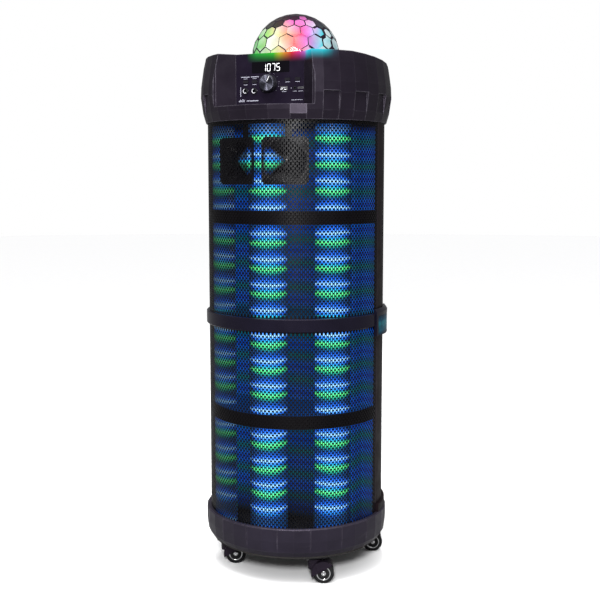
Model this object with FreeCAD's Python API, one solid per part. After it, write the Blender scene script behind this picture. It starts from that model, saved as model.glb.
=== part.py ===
import FreeCAD, Part
import os
from math import cos, radians, sin, sqrt

# Column party speaker on casters. Millimetres, +Z up, front towards -Y.
# The origin is on the column's axis at floor level. Angles are measured about
# the axis from the front, positive towards +X.

V = FreeCAD.Vector
UP = V(0, 0, 1)
FRONT = V(0, -1, 0)
BACK = V(0, 1, 0)

# --- column ---------------------------------------------------------------
BODY_R = 180.0
CABINET_WALL = 12.0
CABINET_EDGE = 88.4        # angle where the rear cabinet's wall starts
BOARD_TOP = 80.0           # top of the base board
COLUMN_TOP = 929.0         # cabinet and upper grille end inside the crown
GRILLE_WALL = 1.5
GRILLE_EDGE = 86.5
GRILLE_GAP = 0.3
CORE_R = 167.5             # boards that fit inside the cabinet wall
COLLAR_R = 186.0           # cabinet's thicker ring above the base skirt
COLLAR_TOP = 137.0
TRIM_SPAN = (86.7, 88.2)   # angles of the strip between grille and cabinet
TRIM_PROUD = 0.5
TRIM_DEPTH = 5.0
PILOT_R = 2.05             # hole for a cabinet screw
BEYOND = 1.0               # how far a cutting tool runs past the face it cuts

# --- joining band and its side lamps ---------------------------------------
BAND_R = 185.7
BAND_BORE = 176.2
BAND_BEVEL = 1.5
BAND_Z0 = 508.0
BAND_Z1 = 534.0
LAMP_R = 189.0
LAMP_BORE = 181.0
LAMP_FLOOR_R = 183.5       # bottom of the pocket that the lens sits in
LAMP_BEVEL = 5.0
LAMP_Z0 = 489.0
LAMP_Z1 = 543.0
LAMP_START = 82.0
LAMP_END = 115.0
LENS_TOP = 529.0

# --- crown ------------------------------------------------------------------
CROWN_Z0 = 912.0
LEDGE_Z = 965.0
CROWN_TOP = 1041.0
CROWN_BORE = 172.0
CROWN_SOCKET = 180.6       # clears the grille and cabinet that end inside it
SOCKET_TOP = 930.0
RECESS_FLOOR = 940.0
PANEL_HALF = 72.0          # half width of the flat at the back of the recess
PANEL_Y = -128.0           # front face of the control panel
PANEL_THICK = 4.0
RECESS_CORNER = 103.5      # half width of the recess at its mouth
SHELL_WALL = 4.0
HOOD_BACK = -106.0
JACK_BACK = -99.5
SLOPE_START = -95.0        # the rim falls gently to the back from here
SLOPE = 0.09
DECK_Z = 1004.0
DECK_THICK = 4.0
MOTOR_HOLE_R = 18.5
PANEL_GAP = 0.2            # clearance between the panel and the crown round it

# --- base and casters -------------------------------------------------------
SKIRT_Z0 = 62.0
SKIRT_TOP = 121.0
BASE_CLOCKING = -8.0       # the base is turned on the column by this angle
BASE_R = 176.0
BASE_BOARD_Z0 = 58.0
CASTER_RADIUS = 150.0
CASTER_TRAIL = 19.0
WHEEL_R = 21.0
ROLL_ANGLE = 23.5          # the wheels' common rolling direction, from +X
WHEEL_HALF_WIDTH = 13.6
WEB_HALF = 2.0
PLATE_SIDE = 47.0
AXLE_R = 4.0
KINGPIN_R = 6.0
RUNNING = 0.05             # radial clearance of a running fit
PLATE_THICK = 3.0
RACE_R = 14.0

# --- lights and drivers -----------------------------------------------------
TUBE_R = 38.5
TUBE_WALL = 3.0
TUBE_RADIUS = 134.0
TUBE_ANGLE = 54.5
DIVIDERS = [(317.0, 343.0), (BAND_Z0, BAND_Z1), (714.0, 740.0)]
BAFFLE_Y0 = -2.0
BAFFLE_Y1 = 10.0
DIVIDER_R = 176.0
DIVIDER_BACK = -12.0
WOOFER_Z = [640.0, 420.0]
WOOFER_R = 103.0
WOOFER_CUTOUT_R = 92.5
WOOFER_STEP = 5.0          # the chassis rim stands this far in front of the baffle
WING_X = (141.0, 147.0)    # boards that close the sides in front of the baffle
WING_FRONT = -50.0
TWEETER_ANGLES = {"left": -19.0, "right": 16.6}
TWEETER_FRONT = 171.5
TWEETER_HALF = 45.0        # half width of its square plate
TWEETER_Z = 835.0
TWEETER_DEPTH = 27.0
TWEETER_PLATE = 4.0
HORN_MOUTH_R = 42.0
MAGNET_R = 22.0
STRAP_HALF = 9.0
STRAP_THICK = 3.0
TOP_BOARD_Z = 906.0
TOP_BOARD_THICK = 12.0

# --- crystal dome -----------------------------------------------------------
DOME_R = 90.0
DOME_Z = 1043.0
DOME_WALL = 3.0
LED_BOARD_Z = 1020.0
SPINDLE_R = 2.5
HUB_Z = (1040.0, 1046.0)
DOME_LAMPS = 6

# --- controls on the front panel: (x, z) ------------------------------------
KNOB_AT = (0.0, 983.0)
KNOB_R = 17.0
JACKS_AT = [(-51.0, 970.0), (-32.0, 970.0)]
USB_AT = (30.5, 973.0)
AUX_AT = (53.0, 973.0)
CARD_AT = (65.0, 973.0)
WINDOW = (79.0, 21.0)
WINDOW_AT = (2.0, 1014.0)
BUTTONS = {
    "previous_button": (-51.0, 988.0),
    "next_button": (-32.0, 988.0),
    "mode_button": (37.6, 990.0),
    "light_button": (58.8, 990.0),
}
BUTTON_SIZE = (11.0, 5.0)
BUTTON_PROUD = 1.2
BUTTON_FLANGE = (4.2, 5.2) # depth behind the panel's face
WINDOW_THICK = 1.4
WINDOW_PROUD = 0.2
KNOB_LENGTH = 15.5
KNOB_GAP = 0.5
USB_HALF = (7.2, 3.5)      # half width and half height of the shell
USB_WALL = 0.9
CARD_HALF = (5.9, 1.6)
SOCKET_DEPTH = 16.0        # of the USB and card sockets behind the panel
MIC_BUSHING_R = 4.5
MIC_NUT_R = 6.0
MIC_PROUD = 3.5
AUX_BUSHING_R = 3.0
BOARD_THICK = 1.6          # circuit boards
SHAFT_R = 3.0
MIC_BORE_R = 3.25
AUX_BORE_R = 1.85

# --- rear panel -------------------------------------------------------------
POCKET_Z = (590.0, 850.0)
POCKET_HALF = 96.0
POCKET_WALL_Y = 140.0
POCKET_FRAME = 6.0
POCKET_SHELF = 8.0
REAR_PANEL_Y = 148.0
REAR_PANEL_THICK = 2.5
REAR_PANEL_HALF = 90.0
REAR_PANEL_Z = (596.0, 844.0)
OPENING_HALF = 80.0
OPENING_Z = (606.0, 834.0)
INLET_AT = (-48.0, 640.0)
SWITCH_AT = (-48.0, 676.0)
SWITCH_AXIS_Y = 147.0
SWITCH_TILT = 10.0
SWITCH_PIN_R = 1.5
INLET_FLANGE = (-67.0, -29.0, 616.0, 702.0)
PORT_Z = 250.0
PORT_BORE = 32.0
PORT_TUBE_R = 37.0
PORT_FLANGE_R = 48.0
PORT_MOUTH_R = 42.0
PORT_FACE_Y = 184.0

os.makedirs("parts", exist_ok=True)


# --- shape helpers ----------------------------------------------------------
def polar(radius, angle, z=0.0):
    return V(radius * sin(radians(angle)), -radius * cos(radians(angle)), z)


def block(x0, x1, y0, y1, z0, z1):
    return Part.makeBox(x1 - x0, y1 - y0, z1 - z0, V(x0, y0, z0))


def drum(radius, z0, z1):
    return Part.makeCylinder(radius, z1 - z0, V(0, 0, z0))


def rod(radius, length, start, direction):
    return Part.makeCylinder(radius, length, start, direction)


def prism(outline, z0, z1):
    points = [V(x, y, z0) for x, y in outline]
    face = Part.Face(Part.makePolygon(points + points[:1]))
    return face.extrude(V(0, 0, z1 - z0))


def sweep(profile, start=0.0, end=360.0):
    """Turn a closed (radius, z) outline about the column's axis."""
    points = [polar(r, start, z) for r, z in profile]
    face = Part.Face(Part.makePolygon(points + points[:1]))
    return face.revolve(V(0, 0, 0), UP, end - start)


def sector(outer, inner, z0, z1, start, end):
    return sweep([(inner, z0), (outer, z0), (outer, z1), (inner, z1)], start, end)


def turned(profile, start, direction):
    """Turn a closed (radius, height) outline about an axis through start."""
    points = [V(r, 0, h) for r, h in profile]
    face = Part.Face(Part.makePolygon(points + points[:1]))
    shape = face.revolve(V(0, 0, 0), UP, 360)
    shape.Placement = FreeCAD.Placement(start, FreeCAD.Rotation(UP, direction))
    return shape


def facet(profile, start, end):
    """A straight-sided block between two angles, with a (radius, z) outline."""
    first = [polar(r, start, z) for r, z in profile]
    last = [polar(r, end, z) for r, z in profile]
    faces = [Part.Face(Part.makePolygon(first + first[:1]))]
    faces.append(Part.Face(Part.makePolygon(last + last[:1])))
    for i in range(len(profile)):
        j = (i + 1) % len(profile)
        corners = [first[i], first[j], last[j], last[i], first[i]]
        faces.append(Part.Face(Part.makePolygon(corners)))
    solid = Part.Solid(Part.Shell(faces))
    if solid.Volume < 0:
        solid.reverse()
    return solid


def join(shapes):
    shapes = list(shapes)
    whole = shapes[0]
    if len(shapes) > 1:
        whole = whole.fuse(shapes[1:])
    return whole.removeSplitter()


def drill(shape, cuts):
    cuts = list(cuts)
    return shape.cut(cuts) if cuts else shape


def about_axis(shape, angle):
    copy = shape.copy()
    copy.rotate(V(0, 0, 0), UP, angle)
    return copy


def save(name, shapes):
    shapes = list(shapes) if isinstance(shapes, (list, tuple)) else [shapes]
    solids = [solid for shape in shapes for solid in shape.Solids]
    whole = solids[0] if len(solids) == 1 else Part.makeCompound(solids)
    whole.exportStep("parts/" + name + ".step")


# --- column -----------------------------------------------------------------
def pocket_screw_places():
    z_low, z_high = REAR_PANEL_Z
    z_mid = (z_low + z_high) / 2
    x_edge = REAR_PANEL_HALF - 5
    places = [(x, z) for x in (-x_edge, x_edge) for z in (z_low + 6, z_mid, z_high - 6)]
    return places + [(0, z_low + 5), (0, z_high - 5)]


def rear_cabinet():
    inner = BODY_R - CABINET_WALL
    far_edge = 360 - CABINET_EDGE
    wall = sector(BODY_R, inner, BOARD_TOP, COLUMN_TOP, CABINET_EDGE, far_edge)
    collar = sector(COLLAR_R, inner, SKIRT_TOP + GRILLE_GAP, COLLAR_TOP, CABINET_EDGE, far_edge)
    z_low, z_high = POCKET_Z
    low, high = z_low - POCKET_SHELF, z_high + POCKET_SHELF
    half = POCKET_HALF + POCKET_FRAME
    mouth = block(-POCKET_HALF, POCKET_HALF, POCKET_WALL_Y, BODY_R + BEYOND, z_low, z_high)
    back = block(-half, half, POCKET_WALL_Y, REAR_PANEL_Y, low, high)
    shelves = [
        block(-half, half, POCKET_WALL_Y, BODY_R, low, z_low),
        block(-half, half, POCKET_WALL_Y, BODY_R, z_high, high),
    ]
    pocket = join([back] + shelves).common(drum(BODY_R, low, high))
    inside_y = POCKET_WALL_Y - BEYOND
    opening = block(-OPENING_HALF, OPENING_HALF, inside_y, BODY_R, OPENING_Z[0], OPENING_Z[1])
    screws = [rod(PILOT_R, 10 + BEYOND, V(x, inside_y, z), BACK) for x, z in pocket_screw_places()]
    port_hole = rod(PORT_TUBE_R + 1, BODY_R, V(0, inside_y, PORT_Z), BACK)
    cabinet = join([join([wall, collar]).cut(mouth), pocket])
    return drill(cabinet, [opening, port_hole] + screws)


def grille(z0, z1):
    return sector(BODY_R, BODY_R - GRILLE_WALL, z0, z1, -GRILLE_EDGE, GRILLE_EDGE)


def grille_edge_trims():
    spans = [(BOARD_TOP, BAND_Z0 - GRILLE_GAP), (BAND_Z1 + GRILLE_GAP, COLUMN_TOP)]
    start, end = TRIM_SPAN
    outer, inner = BODY_R + TRIM_PROUD, BODY_R - TRIM_DEPTH
    strips = []
    for z0, z1 in spans:
        strips.append(sector(outer, inner, z0, z1, start, end))
        strips.append(sector(outer, inner, z0, z1, -end, -start))
    return strips


def joining_band():
    rim = BAND_R - BAND_BEVEL
    outline = [
        (BAND_BORE, BAND_Z0), (rim, BAND_Z0), (BAND_R, BAND_Z0 + BAND_BEVEL),
        (BAND_R, BAND_Z1 - BAND_BEVEL), (rim, BAND_Z1), (BAND_BORE, BAND_Z1),
    ]
    hoop = sweep(outline, -LAMP_START + 0.2, LAMP_START - 0.2)
    end = TRIM_SPAN[1]
    tail = sector(BODY_R + TRIM_PROUD, BAND_BORE, BAND_Z0, BAND_Z1, -end, end)
    return join([hoop, tail])


def side_lamp_housings():
    outline = [
        (LAMP_BORE, LAMP_Z0), (LAMP_R, LAMP_Z0), (LAMP_R, LAMP_Z1 - LAMP_BEVEL - 2),
        (LAMP_R - LAMP_BEVEL, LAMP_Z1), (LAMP_BORE, LAMP_Z1),
    ]
    body = sweep(outline, LAMP_START, LAMP_END)
    outer = LAMP_R + BEYOND
    pocket = sector(outer, LAMP_FLOOR_R, LAMP_Z0 + 1.5, LENS_TOP, LAMP_START + 2, LAMP_END - 2)
    right = body.cut(pocket)
    return [right, right.mirror(V(0, 0, 0), V(1, 0, 0))]


def side_lamp_lenses():
    outer, inner = LAMP_R - 0.4, LAMP_FLOOR_R + 0.2
    lens = sector(outer, inner, LAMP_Z0 + 1.7, LENS_TOP - 0.2, LAMP_START + 2.1, LAMP_END - 2.1)
    return [lens, lens.mirror(V(0, 0, 0), V(1, 0, 0))]


# --- crown ------------------------------------------------------------------
FRONT_EDGES = [-39.0, -29.5, -20.0, -7.0, 7.0, 20.0, 29.5, 39.0]
FLARED_START = 20.0        # the facet from here on has a steeper lower half
SIDE_FACETS = 14
SIDE_STEP = (180 - FRONT_EDGES[-1]) / SIDE_FACETS

PROUD_LOW = [(183.5, CROWN_Z0), (189.0, 931), (193.5, 962), (193.4, LEDGE_Z)]
SUNK_LOW = [(183.5, CROWN_Z0), (188.0, 929), (189.0, LEDGE_Z)]    # facets set back below the ledge
FLARED_LOW = [(184.5, CROWN_Z0), (190.5, 922), (190.8, LEDGE_Z)]
UPPER = [(193.4, LEDGE_Z), (192.6, 983), (190.1, 1001), (187.4, 1019), (182.5, CROWN_TOP)]
WEDGE_INNER = 165.0        # facets are made this deep, then bored out


def crown_facet(outer_points, start, end):
    z_low = outer_points[0][1]
    z_high = outer_points[-1][1]
    return facet([(WEDGE_INNER, z_low)] + outer_points + [(WEDGE_INNER, z_high)], start, end)


def crown_ring():
    facets = []
    for start, end in zip(FRONT_EDGES, FRONT_EDGES[1:]):
        low = FLARED_LOW if start == FLARED_START else PROUD_LOW
        facets.append(crown_facet(low, start, end))
        facets.append(crown_facet(UPPER, start, end))
    for side in (1, -1):
        for i in range(SIDE_FACETS):
            first = side * (FRONT_EDGES[-1] + SIDE_STEP * i)
            second = side * (FRONT_EDGES[-1] + SIDE_STEP * (i + 1))
            low = SUNK_LOW if i % 2 == 0 else PROUD_LOW
            start, end = min(first, second), max(first, second)
            facets.append(crown_facet(low, start, end))
            facets.append(crown_facet(UPPER, start, end))
    return join(facets)


def recess_outline():
    """Plan of the open recess: a flat back, two slanted walls and bevelled corners."""
    back_y = PANEL_Y + PANEL_THICK
    run = RECESS_CORNER - 2 - PANEL_HALF
    beyond_x, beyond_y = 124, -215
    half = [
        (PANEL_HALF, back_y), (PANEL_HALF, PANEL_Y), (PANEL_HALF + run, PANEL_Y - run),
        (RECESS_CORNER + 2.7, PANEL_Y - run), (beyond_x, -182), (beyond_x, beyond_y),
    ]
    return half + [(-x, y) for x, y in reversed(half)]


def housing_outline(margin=0.0):
    """Plan of the walls behind the recess, with the console hood at the back."""
    shift = (SHELL_WALL + margin) * sqrt(2)
    diagonal = PANEL_HALF + PANEL_Y + shift
    wide = PANEL_HALF + SHELL_WALL + margin
    end = 125
    half = [(wide, HOOD_BACK + margin), (wide, diagonal - wide), (end, diagonal - end)]
    return half + [(-x, y) for x, y in reversed(half)]


def crown_slope():
    """The wedge cut off above the rim, so that it falls to the back."""
    far = 200.0
    high = CROWN_TOP + 20
    low_back = CROWN_TOP - SLOPE * (far - SLOPE_START)
    side_view = [(SLOPE_START, CROWN_TOP), (far, low_back), (far, high), (SLOPE_START, high)]
    wedge = [V(-far, y, z) for y, z in side_view]
    return Part.Face(Part.makePolygon(wedge + wedge[:1])).extrude(V(2 * far, 0, 0))


def crown_shell():
    ring = crown_ring()
    ring = ring.cut(drum(CROWN_BORE, SOCKET_TOP, CROWN_TOP + BEYOND))
    ring = ring.cut(drum(CROWN_SOCKET, CROWN_Z0 - BEYOND, SOCKET_TOP))
    envelope = join([ring, drum(CROWN_BORE, SOCKET_TOP, CROWN_TOP)])
    recess = prism(recess_outline(), RECESS_FLOOR, CROWN_TOP + BEYOND)
    floor_z = RECESS_FLOOR - SHELL_WALL
    housing = prism(housing_outline(), floor_z, CROWN_TOP).common(envelope)
    hood_front = PANEL_Y + PANEL_THICK - 1
    inside = block(-PANEL_HALF, PANEL_HALF, hood_front, HOOD_BACK - 3, RECESS_FLOOR, CROWN_TOP - SHELL_WALL)
    half = PANEL_HALF + SHELL_WALL + BEYOND
    below = block(-half, half, hood_front + 1, HOOD_BACK + BEYOND, SOCKET_TOP, DECK_Z)
    crown = join([ring, housing]).cut(recess)
    return crown.cut(inside).cut(below).cut(crown_slope()).removeSplitter()


def crown_deck():
    low, high = DECK_Z - BEYOND, DECK_Z + DECK_THICK + BEYOND
    plate = drum(CROWN_BORE - 0.5, DECK_Z, DECK_Z + DECK_THICK)
    plate = plate.cut(prism(housing_outline(0.4), low, high))
    return plate.cut(drum(MOTOR_HOLE_R, low, high))


# --- control panel ----------------------------------------------------------
def key_hole(place, size, clearance, y0, y1):
    x, z = place
    half_x = size[0] / 2 + clearance
    half_z = size[1] / 2 + clearance
    return block(x - half_x, x + half_x, y0, y1, z - half_z, z + half_z)


def control_panel():
    back = PANEL_Y + PANEL_THICK
    half = PANEL_HALF - PANEL_GAP
    plate = block(-half, half, PANEL_Y, back, RECESS_FLOOR + PANEL_GAP, CROWN_TOP - PANEL_GAP)
    y0, y1 = PANEL_Y - BEYOND, back + BEYOND
    usb = (2 * USB_HALF[0] + 0.4, 2 * USB_HALF[1] + 0.4)
    card = (2 * CARD_HALF[0] + 0.4, 2 * CARD_HALF[1] + 0.2)
    cuts = [
        key_hole(WINDOW_AT, WINDOW, 0.2, y0, PANEL_Y + WINDOW_THICK + 0.1),
        key_hole(WINDOW_AT, WINDOW, -2.0, y0, y1),
        key_hole(USB_AT, usb, 0, y0, y1),
        key_hole(CARD_AT, card, 0, y0, y1),
    ]
    cuts += [key_hole(place, BUTTON_SIZE, 0.3, y0, y1) for place in BUTTONS.values()]
    round_holes = [(KNOB_AT, SHAFT_R + 1), (AUX_AT, AUX_BUSHING_R + 0.1)]
    round_holes += [(place, MIC_BUSHING_R + 0.1) for place in JACKS_AT]
    cuts += [rod(radius, y1 - y0, V(x, y0, z), BACK) for (x, z), radius in round_holes]
    return drill(plate, cuts)


def display_window():
    return key_hole(WINDOW_AT, WINDOW, 0.0, PANEL_Y - WINDOW_PROUD, PANEL_Y + WINDOW_THICK)


def mic_jack(place):
    x, z = place
    mouth = PANEL_Y - MIC_PROUD
    back = PANEL_Y + PANEL_THICK
    bushing = rod(MIC_BUSHING_R, back - mouth + 0.5, V(x, mouth, z), BACK)
    ring_nut = rod(MIC_NUT_R, MIC_PROUD - 0.2, V(x, mouth + 0.2, z), BACK)
    body = block(x - 7, x + 7, back, JACK_BACK, z - 8, z + 8)
    bore = rod(MIC_BORE_R, 30, V(x, mouth, z), BACK)
    return join([bushing, ring_nut, body]).cut(bore)


def usb_port():
    """Steel shell, open in front, with the contact tongue inside."""
    x, z = USB_AT
    half_x, half_z = USB_HALF
    in_x, in_z = half_x - USB_WALL, half_z - USB_WALL
    back = PANEL_Y + SOCKET_DEPTH
    shell = block(x - half_x, x + half_x, PANEL_Y - 0.4, back, z - half_z, z + half_z)
    cavity = block(x - in_x, x + in_x, PANEL_Y - BEYOND, back - 2, z - in_z, z + in_z)
    tongue = block(x - in_x + 1, x + in_x - 1, PANEL_Y + 3, back - 1, z - 0.9, z + 0.9)
    return join([shell.cut(cavity), tongue])


def aux_jack():
    x, z = AUX_AT
    mouth = PANEL_Y - 0.6
    bushing = rod(AUX_BUSHING_R, 6, V(x, mouth, z), BACK)
    body = block(x - 4, x + 4, PANEL_Y + PANEL_THICK, PANEL_Y + 17, z - 4, z + 4)
    bore = rod(AUX_BORE_R, 15, V(x, mouth, z), BACK)
    return join([bushing, body]).cut(bore)


def card_slot():
    x, z = CARD_AT
    half_x, half_z = CARD_HALF
    back = PANEL_Y + SOCKET_DEPTH
    shell = block(x - half_x, x + half_x, PANEL_Y - 0.2, back, z - half_z, z + half_z)
    slot = block(x - half_x + 0.6, x + half_x - 0.6, PANEL_Y - BEYOND, back - 2, z - 0.6, z + 0.6)
    return shell.cut(slot)


def control_board():
    """Board behind the panel, with the encoder's well, the display driver and gaps for the sockets."""
    front = PANEL_Y + 8
    board = block(-66, 66, front, front + BOARD_THICK, RECESS_FLOOR + 6, 1030)
    y0, y1 = front - BEYOND, front + BOARD_THICK + BEYOND
    gaps = [(-60, -23, 960, 980), (22, 39, 967, 979), (48, 67, 967, 979)]
    notches = [block(x0, x1, y0, y1, z0, z1) for x0, x1, z0, z1 in gaps]
    x, z = KNOB_AT
    encoder = block(x - 6.5, x + 6.5, front - 3.8, front, z - 6.5, z + 6.5)
    barrel = rod(6, 9, V(x, front + 1, z), BACK)
    well = rod(SHAFT_R + RUNNING, 12, V(x, front - 5, z), BACK)
    driver = block(-34, 38, front - 2.5, front, 1006, 1022)
    return join([drill(board, notches), encoder, barrel, driver]).cut(well)


def volume_knob():
    x, z = KNOB_AT
    outline = [
        (0, 0), (KNOB_R - 1, 0), (KNOB_R, 1.2), (KNOB_R - 0.8, KNOB_LENGTH - 1.5),
        (KNOB_R - 2.2, KNOB_LENGTH), (0, KNOB_LENGTH),
    ]
    cap = turned(outline, V(x, PANEL_Y - KNOB_GAP, z), FRONT)
    shaft = rod(SHAFT_R, 14, V(x, PANEL_Y - 1, z), BACK)
    return join([cap, shaft])


def round_upright_edges(shape, radius):
    edges = [edge for edge in shape.Edges if abs(edge.tangentAt(edge.FirstParameter).y) > 0.9]
    return shape.makeFillet(radius, edges)


def push_button(place):
    near, far = BUTTON_FLANGE
    cap = key_hole(place, BUTTON_SIZE, 0.0, PANEL_Y - BUTTON_PROUD, PANEL_Y + near + 0.2)
    flange = key_hole(place, BUTTON_SIZE, 1.0, PANEL_Y + near, PANEL_Y + far)
    return join([round_upright_edges(cap, 1.2), flange])


# --- light columns and drivers ----------------------------------------------
def light_sections():
    gap = 1.0
    edges = [BOARD_TOP + gap]
    for low, high in DIVIDERS:
        edges += [low - gap, high + gap]
    edges.append(TOP_BOARD_Z - gap)
    return list(zip(edges[::2], edges[1::2]))


def light_tube(angle):
    """One column's four half-round diffusers, open at the back and cut away round the tweeters."""
    clear = [tweeter_space(side_angle) for side_angle in TWEETER_ANGLES.values()]
    pieces = []
    for z0, z1 in light_sections():
        centre = polar(TUBE_RADIUS, angle, z0)
        half = Part.makeCylinder(TUBE_R, z1 - z0, centre, UP, 180)
        half = half.cut(rod(TUBE_R - TUBE_WALL, z1 - z0 + 2 * BEYOND, centre - UP * BEYOND, UP))
        half.rotate(centre, UP, angle - 180)
        pieces.append(half.cut(clear) if z1 > TWEETER_Z else half)
    return pieces


def led_strips():
    strips = []
    for angle in (-TUBE_ANGLE, 0, TUBE_ANGLE):
        for z0, z1 in light_sections():
            back = -TUBE_RADIUS + 0.2
            strip = block(-TUBE_R, TUBE_R, back, back + 2, z0, z1)
            strips.append(about_axis(strip, angle))
    return strips


def section_dividers():
    front_half = block(-BODY_R, BODY_R, -BODY_R, DIVIDER_BACK, 0, COLUMN_TOP)
    return [drum(DIVIDER_R, low, high).common(front_half) for low, high in DIVIDERS]


def speaker_baffle():
    """Board across the column, with wings between the dividers that close its front sides."""
    half = CORE_R - 0.3
    board = block(-half, half, BAFFLE_Y0, BAFFLE_Y1, BOARD_TOP + 0.2, TOP_BOARD_Z - 0.2)
    near, far = WING_X
    wings = []
    for z0, z1 in light_sections():
        wings.append(block(near, far, WING_FRONT, BAFFLE_Y0, z0, z1))
        wings.append(block(-far, -near, WING_FRONT, BAFFLE_Y0, z0, z1))
    start = BAFFLE_Y0 - WOOFER_STEP
    holes = [rod(WOOFER_CUTOUT_R, 30, V(0, start, z), BACK) for z in WOOFER_Z]
    return drill(join([board] + wings), holes)


def on_baffle(outline, z):
    """Turn a woofer part's (radius, depth) outline about the driver's axis."""
    return turned(outline, V(0, BAFFLE_Y0 - WOOFER_STEP, z), BACK)


def woofer_chassis(z):
    outline = [
        (WOOFER_R, 0), (WOOFER_R, 4.8), (WOOFER_CUTOUT_R - 1, 4.8), (52, 56), (62, 56), (62, 86), (0, 86),
        (0, 56), (16.8, 56), (16.8, 78), (20.2, 78), (20.2, 56), (49.5, 56), (89.5, 3), (89.5, 0),
    ]
    return on_baffle(outline, z)


def woofer_surround(z):
    outline = [
        (81.4, 1), (83.5, -2.2), (87, -2.2), (89.3, 1),
        (89.3, 2.4), (86.5, -0.8), (84, -0.8), (81.4, 2.4),
    ]
    return on_baffle(outline, z)


def woofer_cone(z):
    outline = [
        (0, 32), (11, 33.5), (21, 40.9), (79, 0.8), (80.4, 1.8), (19.2, 45),
        (19, 70), (18, 70), (18, 43.8), (11, 34.8), (0, 33.2),
    ]
    return on_baffle(outline, z)


THROAT_R = 24.0
THROAT_DEPTH = 21.0
BOWL_R = HORN_MOUTH_R + 1
HORN_BACK = [
    (BOWL_R, TWEETER_PLATE), (THROAT_R, THROAT_DEPTH), (MAGNET_R, THROAT_DEPTH),
    (MAGNET_R, TWEETER_DEPTH), (0, TWEETER_DEPTH),
]
HORN_BOWL = [(0, 3), (9, 5), (12, 17), (14, 17), (40, 0), (BOWL_R, 0)]
HORN_VANES = 8
VANE_HALF = 0.9


def tweeter_strap(margin=0.0):
    """Upright strap at angle 0, from behind the horn to the top board."""
    half = STRAP_HALF + margin
    back = TWEETER_FRONT - TWEETER_DEPTH
    y0, y1 = -back - margin, -back + STRAP_THICK + margin
    return block(-half, half, y0, y1, TWEETER_Z - 30, TOP_BOARD_Z - 0.2)


def tweeter_space(angle):
    """The room that a tweeter takes behind its plate, with a working gap."""
    gap = 2.0
    wide = TWEETER_HALF + gap
    back = TWEETER_DEPTH + 1.5
    outline = [
        (0, -6), (wide, -6), (wide, TWEETER_PLATE + 0.8), (TWEETER_HALF, TWEETER_PLATE + gap),
        (THROAT_R + gap, THROAT_DEPTH + gap), (THROAT_R + gap, back), (0, back),
    ]
    horn = turned(outline, V(0, -TWEETER_FRONT, TWEETER_Z), BACK)
    return about_axis(join([horn, tweeter_strap(1.5)]), angle)


def tweeter_plate(face):
    half = TWEETER_HALF
    back = face.y + TWEETER_PLATE
    plate = block(-half, half, face.y, back, face.z - half, face.z + half)
    corners = [edge for edge in plate.Edges if abs(edge.tangentAt(edge.FirstParameter).y) > 0.9]
    mouth = rod(HORN_MOUTH_R, TWEETER_PLATE + 2 * BEYOND, face + FRONT * BEYOND, BACK)
    return plate.makeChamfer(6, corners).cut(mouth)


def horn_vanes(face):
    outline = [(BOWL_R, 0), (BOWL_R, TWEETER_PLATE), (THROAT_R, THROAT_DEPTH), (0, THROAT_DEPTH), (0, 0)]
    bowl = turned(outline, face, BACK)
    vanes = []
    for i in range(HORN_VANES):
        vane = block(-VANE_HALF, VANE_HALF, face.y + 1, face.y + 18, face.z + 8, face.z + 41)
        vane.rotate(face, BACK, 360.0 / HORN_VANES * i)
        vanes.append(vane.common(bowl))
    return vanes


def tweeter(angle):
    """Horn with radial vanes on a square plate, hung from the top board by a strap."""
    face = V(0, -TWEETER_FRONT, TWEETER_Z)
    horn = turned(HORN_BACK + HORN_BOWL, face, BACK)
    return about_axis(join([tweeter_plate(face), horn, tweeter_strap()] + horn_vanes(face)), angle)


def top_board():
    return drum(CORE_R, TOP_BOARD_Z, TOP_BOARD_Z + TOP_BOARD_THICK)


# --- electronics ------------------------------------------------------------
AMP_FRONT = 134.0          # front face of the amplifier's board
SINK_Z = (654.0, 730.0)
SINK_FINS = 10
SINK_PITCH = 6.0


def amplifier_board():
    """Board on four spacers behind the rear panel, with three capacitors and a connector."""
    board = block(0, 76, AMP_FRONT, AMP_FRONT + BOARD_THICK, 612, 760)
    start = AMP_FRONT + 1
    parts = [rod(3, REAR_PANEL_Y - start, V(x, start, z), BACK) for x in (6, 70) for z in (618, 754)]
    parts += [rod(8, 22, V(14 + 20 * i, AMP_FRONT, 632), FRONT) for i in range(3)]
    parts.append(block(10, 66, AMP_FRONT - 14, AMP_FRONT, 738, 756))
    return join([board] + parts)


def heat_sink():
    low, high = SINK_Z
    x0 = 12.0
    base = block(x0, x0 + 56, AMP_FRONT - 5, AMP_FRONT - 0.1, low, high)
    fins = []
    for i in range(SINK_FINS):
        x = x0 + SINK_PITCH * i
        fins.append(block(x, x + 2, AMP_FRONT - 30, AMP_FRONT - 4.5, low, high))
    return join([base] + fins)


def power_supply():
    """Case on two feet that reach the rear panel."""
    case = block(-86, -8, 86, 116, 606, 702)
    feet = [block(-79, -69, 115, REAR_PANEL_Y, z, z + 8) for z in (610, 690)]
    return join([case] + feet)


def battery_pack():
    return block(-75, 75, 30, 95, BOARD_TOP, 145)


def rear_panel():
    y0, y1 = REAR_PANEL_Y, REAR_PANEL_Y + REAR_PANEL_THICK
    z_low, z_high = REAR_PANEL_Z
    sheet = block(-REAR_PANEL_HALF, REAR_PANEL_HALF, y0, y1, z_low, z_high)
    cuts = [rod(PILOT_R, 10, V(x, y0 - BEYOND, z), BACK) for x, z in pocket_screw_places()]
    x0, x1, low, high = INLET_FLANGE
    cuts.append(block(x0 + 4.8, x1 - 4.8, y0 - BEYOND, y1 + BEYOND, low + 4.8, high - 4.8))
    return drill(sheet, cuts)


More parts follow.
